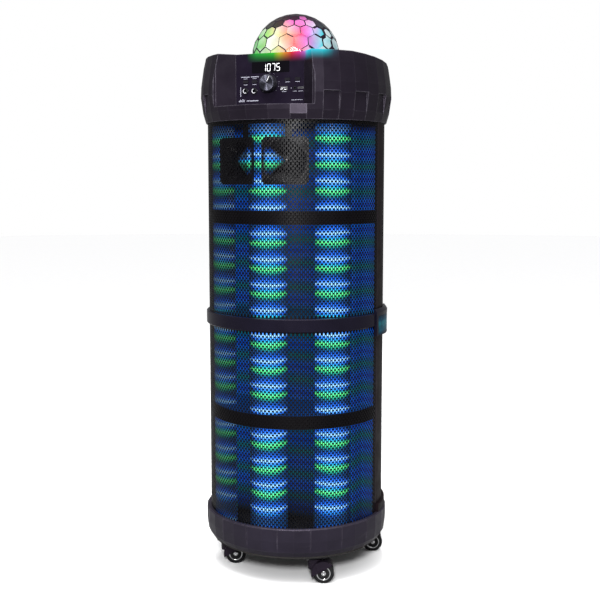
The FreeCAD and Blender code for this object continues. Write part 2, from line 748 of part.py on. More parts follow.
def power_inlet():
    """Mains inlet and rocker-switch housing in one moulding."""
    face = REAR_PANEL_Y + REAR_PANEL_THICK
    outer = face + 2.5
    x0, x1, low, high = INLET_FLANGE
    body = block(x0 + 5, x1 - 5, 122, face + 1, low + 5, high - 5)
    flange = block(x0, x1, face, outer, low, high)
    x, z = INLET_AT
    cavity = block(x - 12, x + 12, 136, outer + BEYOND, z - 8.5, z + 8.5)
    x_s, z_s = SWITCH_AT
    well = block(x_s - 9, x_s + 9, 138, outer + BEYOND, z_s - 14, z_s + 14)
    pivot = rod(SWITCH_PIN_R + RUNNING, 21.2, V(x_s - 10.6, SWITCH_AXIS_Y, z_s), V(1, 0, 0))
    pins = [block(x + dx - 1, x + dx + 1, 135, 147, z + dz - 2, z + dz + 2)
            for dx, dz in ((-7, -2), (0, 2), (7, -2))]
    return join([join([body, flange]).cut(cavity)] + pins).cut(well).cut(pivot)


def power_switch():
    x, z = SWITCH_AT
    y = SWITCH_AXIS_Y
    outline = [(-12.5, 8), (0, 5.8), (12.5, 8), (12.8, 5), (9, -2.5), (-9, -2.5), (-12.8, 5)]
    points = [V(x - 8.6, y + h, z + along) for along, h in outline]
    rocker = Part.Face(Part.makePolygon(points + points[:1])).extrude(V(17.2, 0, 0))
    pin = rod(SWITCH_PIN_R, 21, V(x - 10.5, y, z), V(1, 0, 0))
    whole = join([rocker, pin])
    whole.rotate(V(x, y, z), V(1, 0, 0), -SWITCH_TILT)
    return whole


def bass_port():
    """Flared duct through the cabinet's back, with a flange that fits its curve."""
    flange_y, tube_y, flare_y = 166, 98, 172
    flange = rod(PORT_FLANGE_R, PORT_FACE_Y - flange_y, V(0, flange_y, PORT_Z), BACK)
    reach = PORT_FLANGE_R + 10
    flange = flange.cut(drum(BODY_R + 0.2, PORT_Z - reach, PORT_Z + reach))
    tube = rod(PORT_TUBE_R, PORT_FACE_Y - 2 - tube_y, V(0, tube_y, PORT_Z), BACK)
    depth = PORT_FACE_Y - flare_y + 0.5
    flare = Part.makeCone(PORT_BORE, PORT_MOUTH_R, depth, V(0, flare_y, PORT_Z), BACK)
    bore = rod(PORT_BORE, 120, V(0, 90, PORT_Z), BACK)
    return join([flange, tube]).cut([bore, flare])


# --- crystal dome -----------------------------------------------------------
def dome_plinth():
    deck = DECK_Z + DECK_THICK
    top = DOME_Z - 0.6
    outline = [
        (104, deck), (101, 1026), (94, top), (86, top),
        (86, LED_BOARD_Z), (80, LED_BOARD_Z), (80, deck),
    ]
    return sweep(outline)


def dome_led_board():
    top = LED_BOARD_Z + BOARD_THICK
    board = drum(85.7, LED_BOARD_Z, top).cut(drum(9, LED_BOARD_Z - BEYOND, top + BEYOND))
    step = 360 / DOME_LAMPS
    lamps = [rod(6, 3, polar(46, step * i, LED_BOARD_Z + 1), UP) for i in range(DOME_LAMPS)]
    return join([board] + lamps)


def dome_motor():
    deck = DECK_Z + DECK_THICK
    bore = SPINDLE_R + RUNNING
    outline = [
        (0, 976), (18, 976), (18, deck), (24, deck), (24, deck + 2), (8, deck + 2),
        (8, 1016), (bore, 1016), (bore, 990), (0, 990),
    ]
    return sweep(outline)


def dome_spindle():
    """Motor shaft with a hub and five arms that carry the dome's rim."""
    low, high = HUB_Z
    shaft = drum(SPINDLE_R, 991, low + 4)
    hub = drum(10, low, high)
    rim_outer, rim_inner = DOME_R - DOME_WALL - 0.2, 83
    rim = sector(rim_outer, rim_inner, DOME_Z, high, 0, 360)
    arms = [about_axis(block(-4, 4, -rim_inner - 1, 0, DOME_Z, high), 72 * i) for i in range(5)]
    return join([shaft, hub, rim] + arms)


def crystal_dome():
    outer = Part.makeSphere(DOME_R, V(0, 0, DOME_Z))
    inner = Part.makeSphere(DOME_R - DOME_WALL, V(0, 0, DOME_Z))
    above = drum(DOME_R + BEYOND, DOME_Z, DOME_Z + DOME_R + BEYOND)
    return outer.cut(inner).common(above)


# --- base and casters -------------------------------------------------------
SKIRT_SIDE = [
    (170, SKIRT_Z0), (179, SKIRT_Z0), (181, 65), (186.2, 73), (188, 86), (189, 95),
    (189, SKIRT_TOP - 2), (187.4, SKIRT_TOP), (170, SKIRT_TOP),
]
SKIRT_BLOCKS = 18
GROOVE_HALF = 0.6


def base_skirt():
    step = 360.0 / (2 * SKIRT_BLOCKS)
    facets = []
    for i in range(2 * SKIRT_BLOCKS):
        start = step + BASE_CLOCKING + step * i
        facets.append(facet(SKIRT_SIDE, start, start + step))
    ring = join(facets)
    grooves = []
    for i in range(SKIRT_BLOCKS):
        groove = block(-GROOVE_HALF, GROOVE_HALF, -195, -187, SKIRT_Z0 + 6, SKIRT_TOP + BEYOND)
        grooves.append(about_axis(groove, BASE_CLOCKING + 2 * step * (i + 1)))
    ring = ring.cut(grooves)
    ring = ring.cut(drum(BASE_R + 0.5, SKIRT_Z0 - BEYOND, BOARD_TOP))
    return ring.cut(drum(CROWN_SOCKET, BOARD_TOP, SKIRT_TOP + BEYOND))


def caster_angles():
    return {
        "front_right": 45 + BASE_CLOCKING,
        "front_left": -45 + BASE_CLOCKING,
        "rear_right": 135 + BASE_CLOCKING,
        "rear_left": -135 + BASE_CLOCKING,
    }


def caster_screw_places(angle):
    centre = polar(CASTER_RADIUS, angle)
    outward = polar(1, angle)
    across = polar(1, angle + 90)
    half = PLATE_SIDE / 2 - 6
    return [centre + outward * a + across * b for a in (-half, half) for b in (-half, half)]


def base_board():
    board = drum(BASE_R, BASE_BOARD_Z0, BOARD_TOP)
    pilots = []
    for angle in caster_angles().values():
        for p in caster_screw_places(angle):
            pilots.append(rod(PILOT_R, 14, V(p.x, p.y, BASE_BOARD_Z0 - BEYOND), UP))
    return drill(board, pilots)


def caster_plate(angle):
    half = PLATE_SIDE / 2
    low = BASE_BOARD_Z0 - PLATE_THICK
    plate = block(-half, half, -CASTER_RADIUS - half, -CASTER_RADIUS + half, low, BASE_BOARD_Z0)
    race = rod(RACE_R, 4.6, V(0, -CASTER_RADIUS, low - 4.4), UP)
    whole = about_axis(join([plate, race]), angle)
    centre = polar(CASTER_RADIUS, angle, low - 5)
    cuts = [rod(KINGPIN_R + RUNNING, 9, centre, UP)]
    cuts += [rod(PILOT_R, 6, V(p.x, p.y, low - BEYOND), UP) for p in caster_screw_places(angle)]
    return drill(whole, cuts)


def cabinet_screws():
    shank = 2.0
    screws = []
    low = BASE_BOARD_Z0 - PLATE_THICK
    outline = [(0, -2.2), (3, -2.2), (4.2, -0.6), (4.2, 0), (shank, 0), (shank, 15), (0, 15)]
    for angle in caster_angles().values():
        for p in caster_screw_places(angle):
            screws.append(turned(outline, V(p.x, p.y, low), UP))
    face = REAR_PANEL_Y + REAR_PANEL_THICK
    outline = [(0, -10), (shank, -10), (shank, 0), (3.8, 0), (3.8, 0.8), (2.6, 2.2), (0, 2.2)]
    for x, z in pocket_screw_places():
        screws.append(turned(outline, V(x, face, z), BACK))
    return screws


def place_caster(shape, angle):
    """Move a caster piece from its swivel axis at x = y = 0, rolling along +X."""
    shape = about_axis(shape, ROLL_ANGLE)
    centre = polar(CASTER_RADIUS, angle)
    shape.translate(centre)
    return shape


HOOD_R = 25.0
HOOD_HALF = 16.2
TUNNEL_R = 22.3            # room for the wheel inside the hood
TUNNEL_HALF = 14.6
HOOD_TILT = -30.0


def caster_fork():
    """Hooded fork with its kingpin, cut back to a central web that holds the axle."""
    axle_at = V(CASTER_TRAIL, 0, WHEEL_R)
    across = V(0, 1, 0)
    hood = rod(HOOD_R, 2 * HOOD_HALF, axle_at - across * HOOD_HALF, across)
    half_space = block(-60, 60, -40, 40, 6, 80)
    half_space.rotate(V(0, 0, 0), across, HOOD_TILT)
    half_space.translate(axle_at)
    hood = hood.common(half_space)
    column = rod(12, 20, V(0, 0, 28), UP)
    crown = turned([(0, 0), (15, 0), (15, 3), (13.5, 4.2), (0, 4.2)], V(0, 0, 46), UP)
    kingpin = rod(KINGPIN_R, 8, V(0, 0, 49.5), UP)
    tunnel = rod(TUNNEL_R, 2 * TUNNEL_HALF, axle_at - across * TUNNEL_HALF, across)
    body = join([hood, column, crown, kingpin]).cut(tunnel)
    disc = rod(TUNNEL_R + 0.2, 2 * WEB_HALF, axle_at - across * WEB_HALF, across)
    boss = rod(9, 2 * WEB_HALF, axle_at - across * WEB_HALF, across)
    web = join([disc.common(half_space), boss])
    bore = rod(AXLE_R + RUNNING, 10, axle_at - across * 5, across)
    return join([body, web]).cut(bore)


def caster_wheel():
    """Twin wheel: two tyred discs, each with a raised ring and a cap, on one axle."""
    axle_at = V(CASTER_TRAIL, 0, WHEEL_R)
    inner = WEB_HALF + 0.6
    width = WHEEL_HALF_WIDTH - inner
    solids = [rod(AXLE_R, 2 * WHEEL_HALF_WIDTH, axle_at - V(0, WHEEL_HALF_WIDTH, 0), V(0, 1, 0))]
    for side in (-1, 1):
        outline = [
            (AXLE_R, 0), (WHEEL_R - 1, 0), (WHEEL_R, 1), (WHEEL_R, width - 2.5),
            (WHEEL_R - 1.5, width - 0.8), (15.5, width), (14.5, width - 1),
            (14, width), (12, width), (11.2, width - 1.6),
            (6.5, width - 1.6), (5.2, width), (AXLE_R, width),
        ]
        start = axle_at + V(0, side * inner, 0)
        solids.append(turned(outline, start, V(0, side, 0)))
    return solids


# --- write every piece ------------------------------------------------------
save("rear_cabinet", rear_cabinet())
save("upper_grille", grille(BAND_Z1 + GRILLE_GAP, COLUMN_TOP))
save("lower_grille", grille(BOARD_TOP, BAND_Z0 - GRILLE_GAP))
save("grille_edge_trims", grille_edge_trims())
save("joining_band", joining_band())
save("side_lamp_housings", side_lamp_housings())
save("side_lamp_lenses", side_lamp_lenses())
save("crown_shell", crown_shell())
save("crown_deck", crown_deck())

save("control_panel", control_panel())
save("display_window", display_window())
save("mic_jacks", [mic_jack(place) for place in JACKS_AT])
save("usb_port", usb_port())
save("aux_jack", aux_jack())
save("card_slot", card_slot())
save("control_board", control_board())
save("volume_knob", volume_knob())
for button_name, button_place in BUTTONS.items():
    save(button_name, push_button(button_place))

save("light_tube_left", light_tube(-TUBE_ANGLE))
save("light_tube_centre", light_tube(0))
save("light_tube_right", light_tube(TUBE_ANGLE))
save("led_strips", led_strips())
save("section_dividers", section_dividers())
save("speaker_baffle", speaker_baffle())
save("woofer_chassis", [woofer_chassis(z) for z in WOOFER_Z])
save("woofer_surrounds", [woofer_surround(z) for z in WOOFER_Z])
save("upper_woofer_cone", woofer_cone(WOOFER_Z[0]))
save("lower_woofer_cone", woofer_cone(WOOFER_Z[1]))
for side, side_angle in TWEETER_ANGLES.items():
    save("tweeter_" + side, tweeter(side_angle))
save("top_board", top_board())

save("amplifier_board", amplifier_board())
save("heat_sink", heat_sink())
save("power_supply", power_supply())
save("battery_pack", battery_pack())
save("rear_panel", rear_panel())
save("power_inlet", power_inlet())
save("power_switch", power_switch())
save("bass_port", bass_port())

save("dome_plinth", dome_plinth())
save("dome_led_board", dome_led_board())
save("dome_motor", dome_motor())
save("dome_spindle", dome_spindle())
save("crystal_dome", crystal_dome())

save("base_skirt", base_skirt())
save("base_board", base_board())
save("caster_plates", [caster_plate(angle) for angle in caster_angles().values()])
save("cabinet_screws", cabinet_screws())
for caster_name, caster_angle in caster_angles().items():
    save("caster_fork_" + caster_name, place_caster(caster_fork(), caster_angle))
    wheel_solids = [place_caster(solid, caster_angle) for solid in caster_wheel()]
    save("caster_wheel_" + caster_name, wheel_solids)
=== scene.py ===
import bmesh
import bpy
import math
import random
from mathutils import Matrix, Vector


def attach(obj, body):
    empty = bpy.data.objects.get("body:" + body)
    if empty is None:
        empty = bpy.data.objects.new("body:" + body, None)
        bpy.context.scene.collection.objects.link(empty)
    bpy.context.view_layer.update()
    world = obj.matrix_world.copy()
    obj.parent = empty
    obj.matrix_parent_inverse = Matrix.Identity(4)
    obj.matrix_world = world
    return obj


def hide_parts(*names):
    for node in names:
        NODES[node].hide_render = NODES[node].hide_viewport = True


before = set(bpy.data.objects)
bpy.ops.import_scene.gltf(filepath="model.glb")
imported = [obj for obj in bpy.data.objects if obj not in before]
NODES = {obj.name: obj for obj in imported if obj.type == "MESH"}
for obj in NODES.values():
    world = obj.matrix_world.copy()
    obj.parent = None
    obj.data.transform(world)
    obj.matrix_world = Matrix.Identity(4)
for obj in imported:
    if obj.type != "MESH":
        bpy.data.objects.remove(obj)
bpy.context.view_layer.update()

scene = bpy.context.scene

# Lengths below are in millimetres and angles in degrees, measured about the
# column from the front (-Y) towards +X. MM turns them into Blender's metres.
# The camera, the lights and the floor are placed in metres.
MM = 0.001
VIEW_AZIMUTH = 23.5    # the photographed side
PANEL_Y = -128.0       # front face of the control panel
JACKS_AT = ((-51.0, 970.0), (-32.0, 970.0))
KNOB_AT = (0.0, 983.0)
KNOB_FRONT_Y = PANEL_Y - 16.0
REAR_PANEL_Y = 150.5   # outer face of the rear panel
DOME_Z = 1043.0        # centre of the dome's sphere
DOME_R = 90.0
TUBE_R = 38.5          # a light column's radius
TUBE_CENTRE_R = 134.0  # from the middle of the object to a light column's axis
TUBE_ANGLE = 54.5      # of the outer light columns
ROW_PITCH = 49.5       # height from one row of lights to the next
FIRST_ROW = 874.0      # where the first of the repeating rows starts, counted downwards
HORN_Z = 835.0
VIOLET = (0.90, 0.78, 1.0, 1.0)    # cast of the black mouldings' reflections
SURROUND_LEVEL = 0.22  # how much of the white surround's light reaches the object
FLOOR_LEVEL = 0.28     # and how much of the floor's


def polar(radius, angle, z):
    """A point at an angle round the column, in the unit of radius and z."""
    a = math.radians(angle)
    return (radius * math.sin(a), -radius * math.cos(a), z)


# --- camera, light and floor ------------------------------------------------
def make_camera():
    data = bpy.data.cameras.new("camera")
    data.sensor_width = 36.0
    data.lens = 61.32
    data.clip_start = 0.05
    data.clip_end = 60.0
    camera = bpy.data.objects.new("camera", data)
    camera.location = (0.8442, -1.9414, 0.793)
    camera.rotation_euler = (math.radians(83.47), 0.0, math.radians(23.29))
    scene.collection.objects.link(camera)
    scene.camera = camera


def area_light(name, azimuth, distance, height, aim, size, power):
    """A softbox that faces the middle of the object at the height called aim."""
    data = bpy.data.lights.new(name, "AREA")
    data.shape = "RECTANGLE"
    data.size, data.size_y = size
    data.energy = power
    light = bpy.data.objects.new(name, data)
    light.location = polar(distance, azimuth, height)
    direction = Vector((0.0, 0.0, aim)) - light.location
    light.rotation_euler = direction.to_track_quat("-Z", "Y").to_euler()
    scene.collection.objects.link(light)
    return light


def make_surround():
    """A backdrop that is white to the camera and lights the object less than that."""
    scene.view_settings.view_transform = "Standard"
    world = bpy.data.worlds.new("studio")
    world.use_nodes = True
    tree = world.node_tree
    background = tree.nodes["Background"]
    ray = tree.nodes.new("ShaderNodeLightPath")
    level = tree.nodes.new("ShaderNodeMapRange")
    tree.links.new(ray.outputs["Is Camera Ray"], level.inputs["Value"])
    level.inputs["To Min"].default_value = SURROUND_LEVEL
    level.inputs["To Max"].default_value = 1.0
    tree.links.new(level.outputs["Result"], background.inputs["Strength"])
    background.inputs["Color"].default_value = (1.0, 1.0, 1.0, 1.0)
    scene.world = world


def make_lights():
    """A soft sun overhead, softboxes in front and above, and one behind that gives no reflections."""
    sun_data = bpy.data.lights.new("overhead", "SUN")
    sun_data.energy = 3.0
    sun_data.angle = math.radians(70)
    sun = bpy.data.objects.new("overhead", sun_data)
    sun.rotation_euler = (math.radians(20), 0.0, math.radians(VIEW_AZIMUTH))
    scene.collection.objects.link(sun)
    area_light("front_softbox", VIEW_AZIMUTH - 3, distance=2.5, height=1.4, aim=0.9,
               size=(0.3, 0.4), power=72.0)
    area_light("top_softbox", 8.0, distance=1.3, height=2.4, aim=0.9, size=(0.4, 0.4), power=22.0)
    rear = area_light("rear_softbox", 205.0, distance=2.2, height=2.3, aim=0.6,
                      size=(0.9, 0.6), power=55.0)
    rear.visible_glossy = False
    rear.visible_transmission = False


def make_floor():
    """A wide round floor, which rides no body of the object."""
    corners, radius = 96, 14.0
    ring = [polar(radius, 360 * i / corners, 0.0) for i in range(corners)]
    mesh = bpy.data.meshes.new("floor")
    mesh.from_pydata(ring, [], [list(range(corners))])
    floor = bpy.data.objects.new("floor", mesh)
    scene.collection.objects.link(floor)
    mesh.materials.append(floor_material())


# --- materials --------------------------------------------------------------
NOISE_LOW, NOISE_HIGH = 0.3, 0.7    # nearly all of a noise texture lies between these
MIX_FIRST, MIX_SECOND, MIX_RESULT = 6, 7, 2    # a colour Mix node's sockets


class Nodes:
    """Short names for adding and joining shader nodes of one material."""

    def __init__(self, name):
        self.material = bpy.data.materials.new(name)
        self.material.use_nodes = True
        self.tree = self.material.node_tree
        self.shader = self.tree.nodes["Principled BSDF"]

    def add(self, kind, **settings):
        node = self.tree.nodes.new(kind)
        for key, value in settings.items():
            setattr(node, key, value)
        return node

    def link(self, source, target):
        self.tree.links.new(source, target)

    def feed(self, node, socket, value):
        if isinstance(value, bpy.types.NodeSocket):
            self.link(value, node.inputs[socket])
        else:
            node.inputs[socket].default_value = value

    def math(self, operation, first, second=0.0, third=0.0, clamp=False):
        node = self.add("ShaderNodeMath", operation=operation, use_clamp=clamp)
        for i, value in enumerate((first, second, third)):
            self.feed(node, i, value)
        return node.outputs[0]

    def product(self, first, *others):
        for other in others:
            first = self.math("MULTIPLY", first, other)
        return first

    def hypotenuse(self, first, second):
        squares = [self.math("MULTIPLY", side, side) for side in (first, second)]
        return self.math("SQRT", self.math("ADD", *squares))

    def rise(self, value, start, end, least=0.0):
        """From least where value is start to 1 where it is end (in millimetres), level beyond both."""
        span = (end - start) * MM
        part = self.math("MULTIPLY_ADD", value, 1 / span, -start * MM / span, clamp=True)
        if least:
            part = self.math("MULTIPLY_ADD", part, 1 - least, least)
        return part

    def place(self):
        """The row-frame position on a CAD node, whose object sits at the origin."""
        split = self.add("ShaderNodeSeparateXYZ")
        self.link(self.add("ShaderNodeTexCoord").outputs["Object"], split.inputs[0])
        return split.outputs

    def height(self):
        return self.place()["Z"]

    def noise(self, scale, detail=3.0, stretch=None):
        coordinates = self.add("ShaderNodeTexCoord").outputs["Object"]
        if stretch:
            mapping = self.add("ShaderNodeMapping")
            mapping.inputs["Scale"].default_value = stretch
            self.link(coordinates, mapping.inputs["Vector"])
            coordinates = mapping.outputs["Vector"]
        node = self.add("ShaderNodeTexNoise")
        node.inputs["Scale"].default_value = scale
        node.inputs["Detail"].default_value = detail
        self.link(coordinates, node.inputs["Vector"])
        return node.outputs["Fac"]

    def spread(self, value, low, high):
        """A noise value brought to lie between low and high."""
        node = self.add("ShaderNodeMapRange")
        self.link(value, node.inputs["Value"])
        node.inputs["From Min"].default_value = NOISE_LOW
        node.inputs["From Max"].default_value = NOISE_HIGH
        node.inputs["To Min"].default_value = low
        node.inputs["To Max"].default_value = high
        return node.outputs["Result"]

    def ramp(self, value, stops, interpolation="LINEAR"):
        node = self.add("ShaderNodeValToRGB")
        node.color_ramp.interpolation = interpolation
        elements = node.color_ramp.elements
        while len(elements) < len(stops):
            elements.new(0.5)
        for element, (position, colour) in zip(elements, stops):
            element.position = position
            element.color = (*colour, 1.0)
        self.link(value, node.inputs["Fac"])
        return node.outputs["Color"]

    def blend(self, kind, first, second, part=1.0):
        """Combine two colours, or a colour and a value; part is how far the second takes effect."""
        node = self.add("ShaderNodeMix", data_type="RGBA", blend_type=kind)
        self.feed(node, "Factor", part)
        self.feed(node, MIX_FIRST, first)
        self.feed(node, MIX_SECOND, second)
        return node.outputs[MIX_RESULT]

    def blend_base(self, kind, second, part=1.0):
        """Blend something more into the base colour."""
        base = self.shader.inputs["Base Color"]
        self.link(self.blend(kind, base.links[0].from_socket, second, part), base)

    def glow(self, colour, strength):
        self.feed(self.shader, "Emission Color", colour)
        self.shader.inputs["Emission Strength"].default_value = strength

    def bump(self, height, strength, distance):
        node = self.add("ShaderNodeBump")
        node.inputs["Strength"].default_value = strength
        node.inputs["Distance"].default_value = distance
        self.link(height, node.inputs["Height"])
        self.link(node.outputs["Normal"], self.shader.inputs["Normal"])


def surface(name, *settings, **sockets):
    """A new material with the finish below."""
    return finish(Nodes(name), *settings, **sockets).material


def finish(n, colour, rough, level=0.2, metallic=0.0, grain=1400.0, bump=0.15, depth=0.0002,
           mottle=0.18, blotch=18.0, spread=0.07, stretch=None, **sockets):
    """A solid finish: mottled colour, uneven roughness and a fine grain."""
    cloud = n.noise(blotch, 4.0, stretch)
    low = tuple(c * (1 - mottle) for c in colour)
    high = tuple(min(1.0, c * (1 + mottle)) for c in colour)
    n.link(n.ramp(cloud, [(NOISE_LOW, low), (NOISE_HIGH, high)]), n.shader.inputs["Base Color"])
    uneven = n.noise(blotch * 2.3, 3.0, stretch)
    n.link(n.spread(uneven, rough - spread, rough + spread), n.shader.inputs["Roughness"])
    n.bump(n.noise(grain, 2.0, stretch), bump, depth)
    n.shader.inputs["Metallic"].default_value = metallic
    n.shader.inputs["Specular IOR Level"].default_value = level
    for key, value in sockets.items():
        n.shader.inputs[key.replace("_", " ")].default_value = value
    return n


def floor_material():
    """White paper; what it throws back on the object is dimmed, as by dark cards round the set."""
    n = finish(Nodes("floor_paper"), (0.90, 0.90, 0.905), 0.9, 0.2, mottle=0.01, bump=0.01)
    seen = n.add("ShaderNodeLightPath").outputs["Is Camera Ray"]
    n.blend_base("MULTIPLY", n.math("MULTIPLY_ADD", seen, 1 - FLOOR_LEVEL, FLOOR_LEVEL))
    return n.material


def moulded_plastic(name, colour, rough, level=0.16, edge_highlight=None):
    """Satin black plastic, with painted highlights on its edges in the edge_highlight colour if one is given.
    """
    n = finish(Nodes(name), colour, rough, level, grain=2200, bump=0.22, depth=0.00025, Specular_Tint=VIOLET)
    if edge_highlight:
        paint_edge_highlights(n, edge_highlight)
    return n.material


def paint_edge_highlights(n, colour, radius=1.6):
    """Painted highlights: lighter edges wherever two faces meet, uneven along them; the bevelled normal
    leaves the plain one there.
    """
    sharpness = 40.0
    rounded = n.add("ShaderNodeBevel", samples=6)
    rounded.inputs["Radius"].default_value = radius * MM
    compare = n.add("ShaderNodeVectorMath", operation="DOT_PRODUCT")
    n.link(rounded.outputs["Normal"], compare.inputs[0])
    n.link(n.add("ShaderNodeNewGeometry").outputs["Normal"], compare.inputs[1])
    turned = n.math("SUBTRACT", 1.0, compare.outputs["Value"])
    sharp = n.math("MULTIPLY", turned, sharpness, clamp=True)
    # painted highlight along the edges, made uneven by noise
    edge_highlight_mask = n.math("MULTIPLY", sharp, n.spread(n.noise(90.0), 0.25, 1.0))
    n.blend_base("MIX", (*colour, 1.0), edge_highlight_mask)


def paint(material, *names):
    for name in names:
        node = NODES[name]
        if not node.material_slots:
            node.data.materials.append(material)
        for material_slot in node.material_slots:
            material_slot.material = material


def soften(names, width, angle=14.0):
    """Round the sharp edges of moulded CAD pieces."""
    for name in names:
        node = NODES[name]
        weld = node.modifiers.new("weld", "WELD")
        weld.merge_threshold = 0.00001
        bevel = node.modifiers.new("bevel", "BEVEL")
        bevel.width = width * MM
        bevel.segments = 2
        bevel.limit_method = "ANGLE"
        bevel.angle_limit = math.radians(angle)
        bevel.harden_normals = False


def painted_dome_light(n):
    """Painted light of the dome on the front rim, as glow: green, yellow, red, magenta and cyan from left to
    right.
    """
    x, y, z = n.place()
    colours = n.ramp(n.rise(x, -60, 140), [
        (0.06, (0.0, 0.0, 0.0)), (0.16, (0.01, 0.40, 0.03)), (0.34, (0.03, 0.60, 0.02)),
        (0.40, (0.60, 0.65, 0.02)), (0.46, (0.85, 0.30, 0.02)), (0.53, (0.85, 0.03, 0.03)),
        (0.61, (0.75, 0.04, 0.30)), (0.67, (0.50, 0.18, 0.70)), (0.71, (0.00, 0.66, 0.90)),
        (0.88, (0.00, 0.66, 0.78)), (0.96, (0.0, 0.06, 0.09)), (1.00, (0.0, 0.0, 0.0)),
    ])
    near_top = n.math("POWER", n.rise(z, 1021, 1041), 1.8)
    near_front = n.rise(y, -45, -95)
    # painted light of the dome, strongest at the top and the front of the rim
    n.glow(n.blend("MULTIPLY", colours, n.product(near_top, near_front)), 1.0)


def crown_material():
    """Satin black crown with painted highlights on its edges and the dome's light painted on its rim."""
    n = finish(Nodes("crown_satin"), (0.0078, 0.0058, 0.0100), 0.38, 0.24, grain=2200,
               bump=0.22, depth=0.00025, blotch=14.0, Specular_Tint=VIOLET)
    paint_edge_highlights(n, (0.075, 0.068, 0.085), 2.2)
    painted_dome_light(n)
    return n.material


def panel_material():
    """The console plate, a little glossier than the crown, with the dome's light painted on its top edge as
    glow.
    """
    n = finish(Nodes("console_plate"), (0.0058, 0.0038, 0.0096), 0.30, 0.22, grain=900, bump=0.06,
               Specular_Tint=VIOLET)
    painted_dome_light(n)
    return n.material


# The light columns repeat every ROW_PITCH, from 0 at the top of a repeat to 1 at its bottom.
ROW_RIPPLE = 4.0       # how far the rows wander up and down
GREEN_CENTRE, GREEN_REACH = 0.945, 0.34
BLUE_CENTRE, BLUE_REACH = 0.58, 0.42
# From a row's edge (0) to its middle (1).
GREEN_LIGHT = [
    (0.0, (0.0, 0.0, 0.0)), (0.3, (0.0, 0.07, 0.02)), (0.6, (0.01, 0.42, 0.05)),
    (1.0, (0.14, 1.0, 0.06)),
]
BLUE_LIGHT = [
    (0.0, (0.0, 0.0, 0.0)), (0.35, (0.0, 0.035, 0.34)), (0.62, (0.015, 0.13, 0.85)),
    (0.82, (0.11, 0.38, 1.0)), (1.0, (0.45, 0.80, 1.0)),
]
DEEP_BLUE = (0.002, 0.060, 0.24, 1.0)
# Painted light on the inner surfaces, from the start of a repeat (0) to its middle (0.5).
INNER_LIGHT = [
    (0.0, (0.001, 0.085, 0.110)), (0.18, (0.001, 0.058, 0.180)),
    (0.34, (0.002, 0.060, 0.330)), (0.5, (0.001, 0.034, 0.260)),
]


def lamp_row(n, phase, centre, reach, outward, stops):
    """One row in each repeat: a lens-shaped patch, thickest at the middle of its column."""
    narrowing = 0.72
    distance = n.math("PINGPONG", n.math("SUBTRACT", phase, centre), 0.5)
    edge = n.math("MULTIPLY_ADD", outward, -narrowing * reach, reach)
    level = n.math("SUBTRACT", 1.0, n.math("DIVIDE", distance, edge), clamp=True)
    return n.ramp(level, stops)


def lamp_rows(n, outward):
    """Rows of green and of blue-white lamps over deep blue; outward is 0 at the middle, 1 at the edge."""
    z = n.height()
    ripple = n.math("MULTIPLY_ADD", n.noise(16.0, 1.0), 2 * ROW_RIPPLE * MM, -ROW_RIPPLE * MM)
    drop = n.math("SUBTRACT", FIRST_ROW * MM, n.math("ADD", z, ripple))
    phase = n.math("DIVIDE", drop, ROW_PITCH * MM)
    green = lamp_row(n, phase, GREEN_CENTRE, GREEN_REACH, outward, GREEN_LIGHT)
    # painted shade at the skirt: no green rows below 138 mm
    skirt_shade = n.rise(z, 138, 150)
    green = n.blend("MULTIPLY", green, skirt_shade)
    blue = lamp_row(n, phase, BLUE_CENTRE, BLUE_REACH, outward, BLUE_LIGHT)
    # painted shade under the crown: the blue rows dim to 0.12 of their light above 894.4 mm
    crown_shade = n.rise(z, 894.4, 882, 0.12)
    blue = n.blend("MULTIPLY", blue, crown_shade)
    deep = n.blend("MULTIPLY", DEEP_BLUE, n.math("MULTIPLY_ADD", outward, -0.2, 1.0))
    return n.blend("ADD", n.blend("ADD", green, blue), deep)


def light_column(name, angle, facing, strength):
    """Frosted half-round tube at an angle round the column, its lamps turned to the facing azimuth."""
    n = finish(Nodes(name), (0.02, 0.03, 0.04), 0.35, blotch=90.0)
    x, y, z = n.place()
    centre_x, centre_y = polar(TUBE_CENTRE_R, angle, 0.0)[:2]
    across_x = math.cos(math.radians(facing)) / TUBE_R
    across_y = math.sin(math.radians(facing)) / TUBE_R
    middle = centre_x * across_x + centre_y * across_y
    along_x = n.math("MULTIPLY_ADD", x, across_x / MM, -middle)
    unit = n.math("MULTIPLY_ADD", y, across_y / MM, along_x)
    outward = n.math("MULTIPLY", unit, unit)
    sides = n.math("MULTIPLY_ADD", n.math("POWER", outward, 1.6), -0.86, 1.0, clamp=True)
    foot = n.rise(z, 85, 155, 0.4)
    head = n.rise(z, 925, 895, 0.3)
    n.glow(n.blend("MULTIPLY", lamp_rows(n, outward), n.product(sides, foot, head)), strength)
    return n.material


def painted_column_light(name, colour, rough, strength=1.0, back=12.0, reach=177.0):
    """A dark inner surface with the columns' light painted on it as glow, back to y = back and out to radius
    reach.
    """
    half_width = 150.0
    n = finish(Nodes(name), colour, rough, 0.1, grain=600, bump=0.3)
    x, y, z = n.place()
    drop = n.math("SUBTRACT", FIRST_ROW * MM, z)
    distance = n.math("PINGPONG", n.math("DIVIDE", drop, ROW_PITCH * MM), 0.5)
    rows = n.ramp(distance, INNER_LIGHT, "EASE")
    side = n.math("DIVIDE", x, half_width * MM)
    sides = n.math("MULTIPLY_ADD", n.math("MULTIPLY", side, side), 0.75, 0.65)
    foot = n.rise(z, 85, 155)
    head = n.rise(z, 905, 885)
    forward = n.rise(y, back, back - 4)
    inner = n.rise(n.hypotenuse(x, y), reach, reach - 2)
    normal = n.add("ShaderNodeSeparateXYZ")
    n.link(n.add("ShaderNodeNewGeometry").outputs["True Normal"], normal.inputs[0])
    facing_front = n.math("MULTIPLY_ADD", normal.outputs["Y"], -2.0, 0.8, clamp=True)
    amount = n.product(sides, foot, head, forward, inner, facing_front)
    # painted light: the columns' rows glow on faces turned to the front
    n.glow(n.blend("MULTIPLY", rows, amount), strength)
    return n.material


